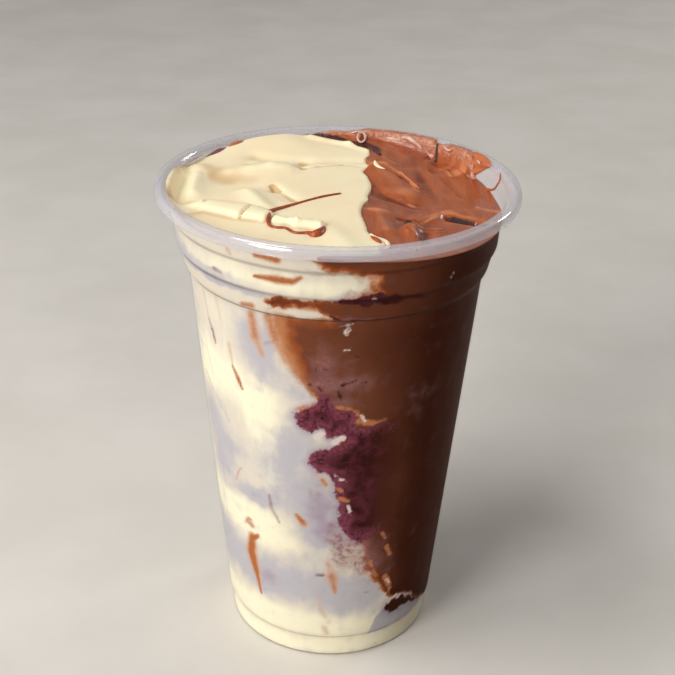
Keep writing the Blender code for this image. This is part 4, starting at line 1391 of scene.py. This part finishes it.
def plastic_material(name, haze_low, haze_high, fade_low, fade_high, shine, edge_shine, falloff):
    """Thin clear plastic. Its milkiness goes from one share to another between two heights."""
    g = Graph(name)
    haze = g.step(g.height(), fade_low * MM, fade_high * MM, haze_high - haze_low)
    haze = g.plus(haze, haze_low)
    haze = g.times(haze, g.plus(g.times(g.noise(6.0), 0.5), 0.75))
    normal = g.bump(g.noise(5.0, detail=2.0), 0.05)
    weight = g.add("ShaderNodeLayerWeight")
    weight.inputs["Blend"].default_value = 0.5
    g.put(weight.inputs["Normal"], normal)
    share = g.math("POWER", weight.outputs["Facing"], falloff)
    share = g.plus(g.times(share, edge_shine - shine), shine)
    clear = g.add("ShaderNodeBsdfTransparent")
    clear.inputs["Color"].default_value = (*rgb(252, 252, 252), 1.0)
    milky = g.principled(
        Base_Color=PLASTIC,
        Roughness=0.35,
        Subsurface_Weight=0.0,
        Specular_IOR_Level=0.3,
        Normal=normal,
    )
    gloss = g.add("ShaderNodeBsdfGlossy")
    gloss.inputs["Roughness"].default_value = 0.07
    g.put(gloss.inputs["Normal"], normal)
    film = g.blend(haze, clear.outputs[0], milky)
    return g.finish(g.blend(share, film, gloss.outputs[0]))


def floor_material():
    g = Graph("pale_floor")
    colour = g.mix(g.step(g.noise(60.0, detail=5.0), 0.3, 0.7), FLOOR, rgb(214, 208, 199))
    shader = g.principled(
        Base_Color=colour,
        Roughness=0.6,
        Specular_IOR_Level=0.3,
        Normal=g.bump(g.noise(2.0), 0.03),
    )
    return g.finish(shader)


# ---------------- pieces


def store(mesh, marks):
    """Writes marks, by name, onto a mesh's points."""
    for name, values in marks.items():
        mark = mesh.attributes.new(name, "FLOAT", "POINT")
        mark.data.foreach_set("value", np.asarray(values, np.float32))


def attach(obj, node):
    """Puts a piece on the body, in place of its node, which it hides."""
    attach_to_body(obj, "root")
    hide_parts(node)


def dress(obj, materials, is_top):
    """Gives an object its materials, the second on faces that is_top picks by centre and normal."""
    mesh = obj.data
    for material in materials:
        mesh.materials.append(material)
    count = len(mesh.polygons)
    centres, normals = np.empty(count * 3, np.float32), np.empty(count * 3, np.float32)
    mesh.polygons.foreach_get("center", centres)
    mesh.polygons.foreach_get("normal", normals)
    top = is_top(centres.reshape(-1, 3) / MM, normals.reshape(-1, 3))
    mesh.polygons.foreach_set("material_index", top.astype(np.int32))
    mesh.polygons.foreach_set("use_smooth", [True] * count)
    mesh.set_sharp_from_angle(angle=math.radians(SHARP_ANGLE))


def on_top(centres, normals):
    """Which faces of a food belong to its top and not to the wall or a hidden side."""
    x, y, z = centres.T
    away = np.hypot(x, y)
    outward = (x * normals[:, 0] + y * normals[:, 1]) / np.maximum(away, 1e-6)
    at_wall = (away > radius_inside(z, FILL_INSET) - TOP_MARGIN) & (outward > OUTWARD)
    return (z > TOP_LOWEST) & ~at_wall & ((normals[:, 2] > UPWARD) | (z > TOP_WHOLE))


def top_marks(spots, level, shades):
    """Marks of a top: film on the wall, acai strip beside the cream, and light and shade."""
    x, y, z = spots.T
    away = np.hypot(x, y)
    turn = turn_of(x, y)
    film = on_film(away, turn)
    strip = np.full(x.shape, -9.0)
    for *ends, half0, half1 in STRIP_LINE:
        share, beyond = beside(x, y, *ends)
        strip = np.maximum(strip, half0 + (half1 - half0) * share - beyond)
    inner = np.minimum(away, HOLLOW_LIMIT) / np.maximum(away, 1e-6)
    deep = sum(share * hollow(level, x * inner, y * inner, reach) for reach, share in HOLLOWS)
    shade = sum(fold(x, y, row) for row in shades)
    return {"film": film, "strip": strip, "shade": shade, "hollow": deep}


def food_bodies():
    """The milk cream, the chocolate and the acai, cut from the room and from one another."""
    cream_top = make_top("cream_surface", cream_level)
    chocolate_top = make_top("chocolate_surface", chocolate_level)
    cream_side = make_chocolate_side("cream_side", -SEAM)
    chocolate_side = make_chocolate_side("chocolate_side", SEAM)
    acai_room = make_acai_mass("acai_room", SEAM)
    bound = make_room("bound")
    cream = carved(
        make_room("milk_cream_fill"),
        ("INTERSECT", cream_top),
        ("DIFFERENCE", cream_side),
        ("DIFFERENCE", acai_room),
    )
    chocolate = carved(
        make_room("chocolate_cream_fill"),
        ("INTERSECT", chocolate_top),
        ("INTERSECT", chocolate_side),
        ("DIFFERENCE", acai_room),
    )
    acai = carved(make_acai_mass("acai_fill"), ("INTERSECT", bound))
    for helper in (cream_top, chocolate_top, cream_side, chocolate_side, acai_room, bound):
        bpy.data.objects.remove(helper)
    return cream, chocolate, acai


def make_food(wall, cream_look, chocolate_look):
    """The three masses, each in its own solid's place, with their marks and looks."""
    cream, chocolate, acai = food_bodies()
    for obj in (cream, chocolate, acai):
        store(obj.data, wall_marks(points_of(obj.data)))
    for obj, level, shades in (
        (cream, cream_level, CREAM_SHADES),
        (chocolate, chocolate_level, CHOCOLATE_SHADES),
    ):
        store(obj.data, top_marks(points_of(obj.data), level, shades))
    dress(cream, (wall, cream_look), on_top)
    dress(chocolate, (wall, chocolate_look), on_top)
    dress(acai, (wall,), lambda centres, normals: np.zeros(len(centres), bool))
    for obj, node in ((cream, "milk_cream"), (chocolate, "chocolate_cream"), (acai, "acai")):
        attach(obj, node)


def make_cup():
    """The stepped wall, foot and rolled lip, its bends swept round."""
    outer = rounded(outline())
    inner = rounded(inset(outline(), WALL))
    lip = [(LIP_RADIUS + r, LIP_LEVEL + z) for r, z in LIP_UNDER + LIP_OUTSIDE + LIP_TOP]
    lip = rounded([outer[-1]] + lip + [inner[-1]], 0.5)[1:-1]
    profile = refined(outer, CUP_STEP) + lip + refined(inner, CUP_STEP)[::-1]
    cup = turned("cup_shell", profile, CUP_STEPS)
    mesh = cup.data
    for row in PLASTICS:
        mesh.materials.append(plastic_material(*row))
    index = []
    for face in mesh.polygons:
        centre = face.center / MM
        away = math.hypot(centre.x, centre.y)
        outward = (centre.x * face.normal.x + centre.y * face.normal.y) / max(away, 1e-6)
        inside = outward < CUP_INWARD or (face.normal.z > 0.5 and centre.z < FLOOR_BELOW)
        on_lip = centre.z > LIP_LEVEL + LIP_MARGINS[1] or away > LIP_RADIUS + LIP_MARGINS[0]
        index.append(2 if on_lip else int(inside))
    mesh.polygons.foreach_set("material_index", index)
    attach(cup, "cup")


def level_at(level, x, y):
    return float(level(np.array([x]), np.array([y]))[0])


def wall_spot(turn, z, inward):
    radius = float(radius_inside(min(z, LIP_LEVEL), WALL)) - inward
    return radius * math.sin(math.radians(turn)), -radius * math.cos(math.radians(turn)), z


def add_spread(obj, material, node):
    obj.data.materials.append(material)
    attach(obj, node)


def make_small_pieces():
    """Drizzle, hook, fleck, thread, curl, film and the thin smears left on the inner wall."""
    looks = {name: spread_material(name, *rest) for name, *rest in SPREADS}

    def lay(name, line, look, node, sides=12, squash=1.0):
        add_spread(tube(name, line, sides, squash), looks[look], node)

    def lay_on_wall(name, rows, inward, look, node):
        lay(name, [(*wall_spot(*row[:2], inward), row[2]) for row in rows], look, node)

    drizzle = [(x, y, half * DRIZZLE_SHARE) for x, y, half in DRIZZLE]
    creams = (cream_level, chocolate_level)
    for name, rows, levels, above, *rest in (
        ("drizzle", drizzle, (cream_level,), 0.1, "sauce", "milk_cream", 16, 0.75),
        ("cream_hook", HOOK, creams, 0.1, "cream_spot", "milk_cream", 16, 0.8),
        ("hook_spot", HOOK_SPOT, (cream_level,), 0.1, "sauce", "chocolate_cream", 14, 0.6),
        ("cream_fleck", FLECK, (chocolate_level,), 0.25, "cream_spot", "milk_cream", 14, 0.6),
    ):
        line = [
            (x, y, max(level_at(level, x, y) for level in levels) + above, half)
            for x, y, half in rows
        ]
        lay(name, line, *rest)
    lay_on_wall("chocolate_thread", THREAD, THREAD_INWARD, "curl_spot", "chocolate_cream")
    x, y, z, wide, tall, lean, half = CURL
    line = []
    for degrees in CURL_ANGLES:
        a = math.radians(degrees)
        line.append((x + wide * math.sin(a), y + lean * math.cos(a), z + tall * math.cos(a), half))
    # The curl and the film's rolls take the pale tint: partly thin film, partly painted glint.
    lay("chocolate_curl", line, "pale_film_and_glint", "chocolate_cream")
    lobe = wall_patch("film_lobe", LOBE, LOBE_THICKNESS)
    add_spread(lobe, looks["lobe_spot"], "chocolate_cream")
    for name, rows in FILM_ROLLS:
        lay_on_wall(name, rows, FILM_ROLL_INWARD, "pale_film_and_glint", "chocolate_cream")
    for name, look, node, rows in WALL_SMEARS:
        lay_on_wall(name, rows, SMEAR_INWARD, look, node)


# ---------------- floor, light and camera

FLOOR_REACH = 3.0
# The camera's place in millimetres and its turns in radians, solved from the photograph's ellipses
CAMERA_BACK = 329.73
CAMERA_UP = 249.94
CAMERA_PITCH = 0.4607
CAMERA_ROLL = 0.0233
CAMERA_YAW = 0.0024
FOCAL_PIXELS = 1346.3
FRAME_PIXELS = 675.0
SENSOR = 36.0
# Name, angle from the front towards +X, height angle, distance and size in metres, watts, colour
LIGHTS = (
    ("key", -40, 25, 1.1, 0.5, 7.8, (1, 1, 1)), ("upper", -72, 60, 1.1, 0.5, 5.3, (1, 1, 1)),
    ("back", 128, 24, 1.3, 0.3, 3, (1, 0.98, 0.95)),
)
SKY = (1, 1, 1)
SKY_STRENGTH = 0.26
AIM = Vector((0.0, 0.0, 0.08))


def make_stage():
    mesh = bpy.data.meshes.new("floor")
    body = bmesh.new()
    bmesh.ops.create_grid(body, x_segments=8, y_segments=8, size=FLOOR_REACH)
    body.to_mesh(mesh)
    body.free()
    mesh.materials.append(floor_material())
    linked("floor", mesh)


def make_lights():
    for name, azimuth, elevation, distance, size, watts, colour in LIGHTS:
        data = bpy.data.lights.new(name, "AREA")
        data.shape = "DISK"
        data.size = size
        data.energy = watts
        data.color = colour
        lamp = linked(name, data)
        turn, rise = math.radians(azimuth), math.radians(elevation)
        flat = math.cos(rise)
        way = Vector((math.sin(turn) * flat, -math.cos(turn) * flat, math.sin(rise)))
        lamp.location = AIM + way * distance
        lamp.rotation_euler = way.to_track_quat("Z", "Y").to_euler()
    world = bpy.data.worlds.new("studio")
    world.use_nodes = True
    sky = world.node_tree.nodes["Background"]
    sky.inputs["Color"].default_value = (*SKY, 1.0)
    sky.inputs["Strength"].default_value = SKY_STRENGTH
    bpy.context.scene.world = world


def make_camera():
    sine, cosine = math.sin(CAMERA_YAW), math.cos(CAMERA_YAW)
    flat = math.cos(CAMERA_PITCH)
    forward = Vector((sine * flat, cosine * flat, -math.sin(CAMERA_PITCH)))
    right = Vector((cosine, -sine, 0.0))
    up = right.cross(forward)
    across = math.cos(CAMERA_ROLL) * right + math.sin(CAMERA_ROLL) * up
    above = math.cos(CAMERA_ROLL) * up - math.sin(CAMERA_ROLL) * right
    data = bpy.data.cameras.new("camera")
    data.sensor_width = SENSOR
    data.lens = FOCAL_PIXELS / FRAME_PIXELS * SENSOR
    data.clip_start = 0.001
    camera = linked("camera", data)
    place = Matrix((across, above, -forward)).transposed().to_4x4()
    place.translation = Vector((0.0, -CAMERA_BACK, CAMERA_UP)) * MM
    camera.matrix_world = place
    bpy.context.scene.camera = camera


make_camera()
make_food(wall_material(), cream_material(), chocolate_material())
make_cup()
make_small_pieces()
make_stage()
make_lights()
bpy.context.scene.view_settings.view_transform = "Standard"
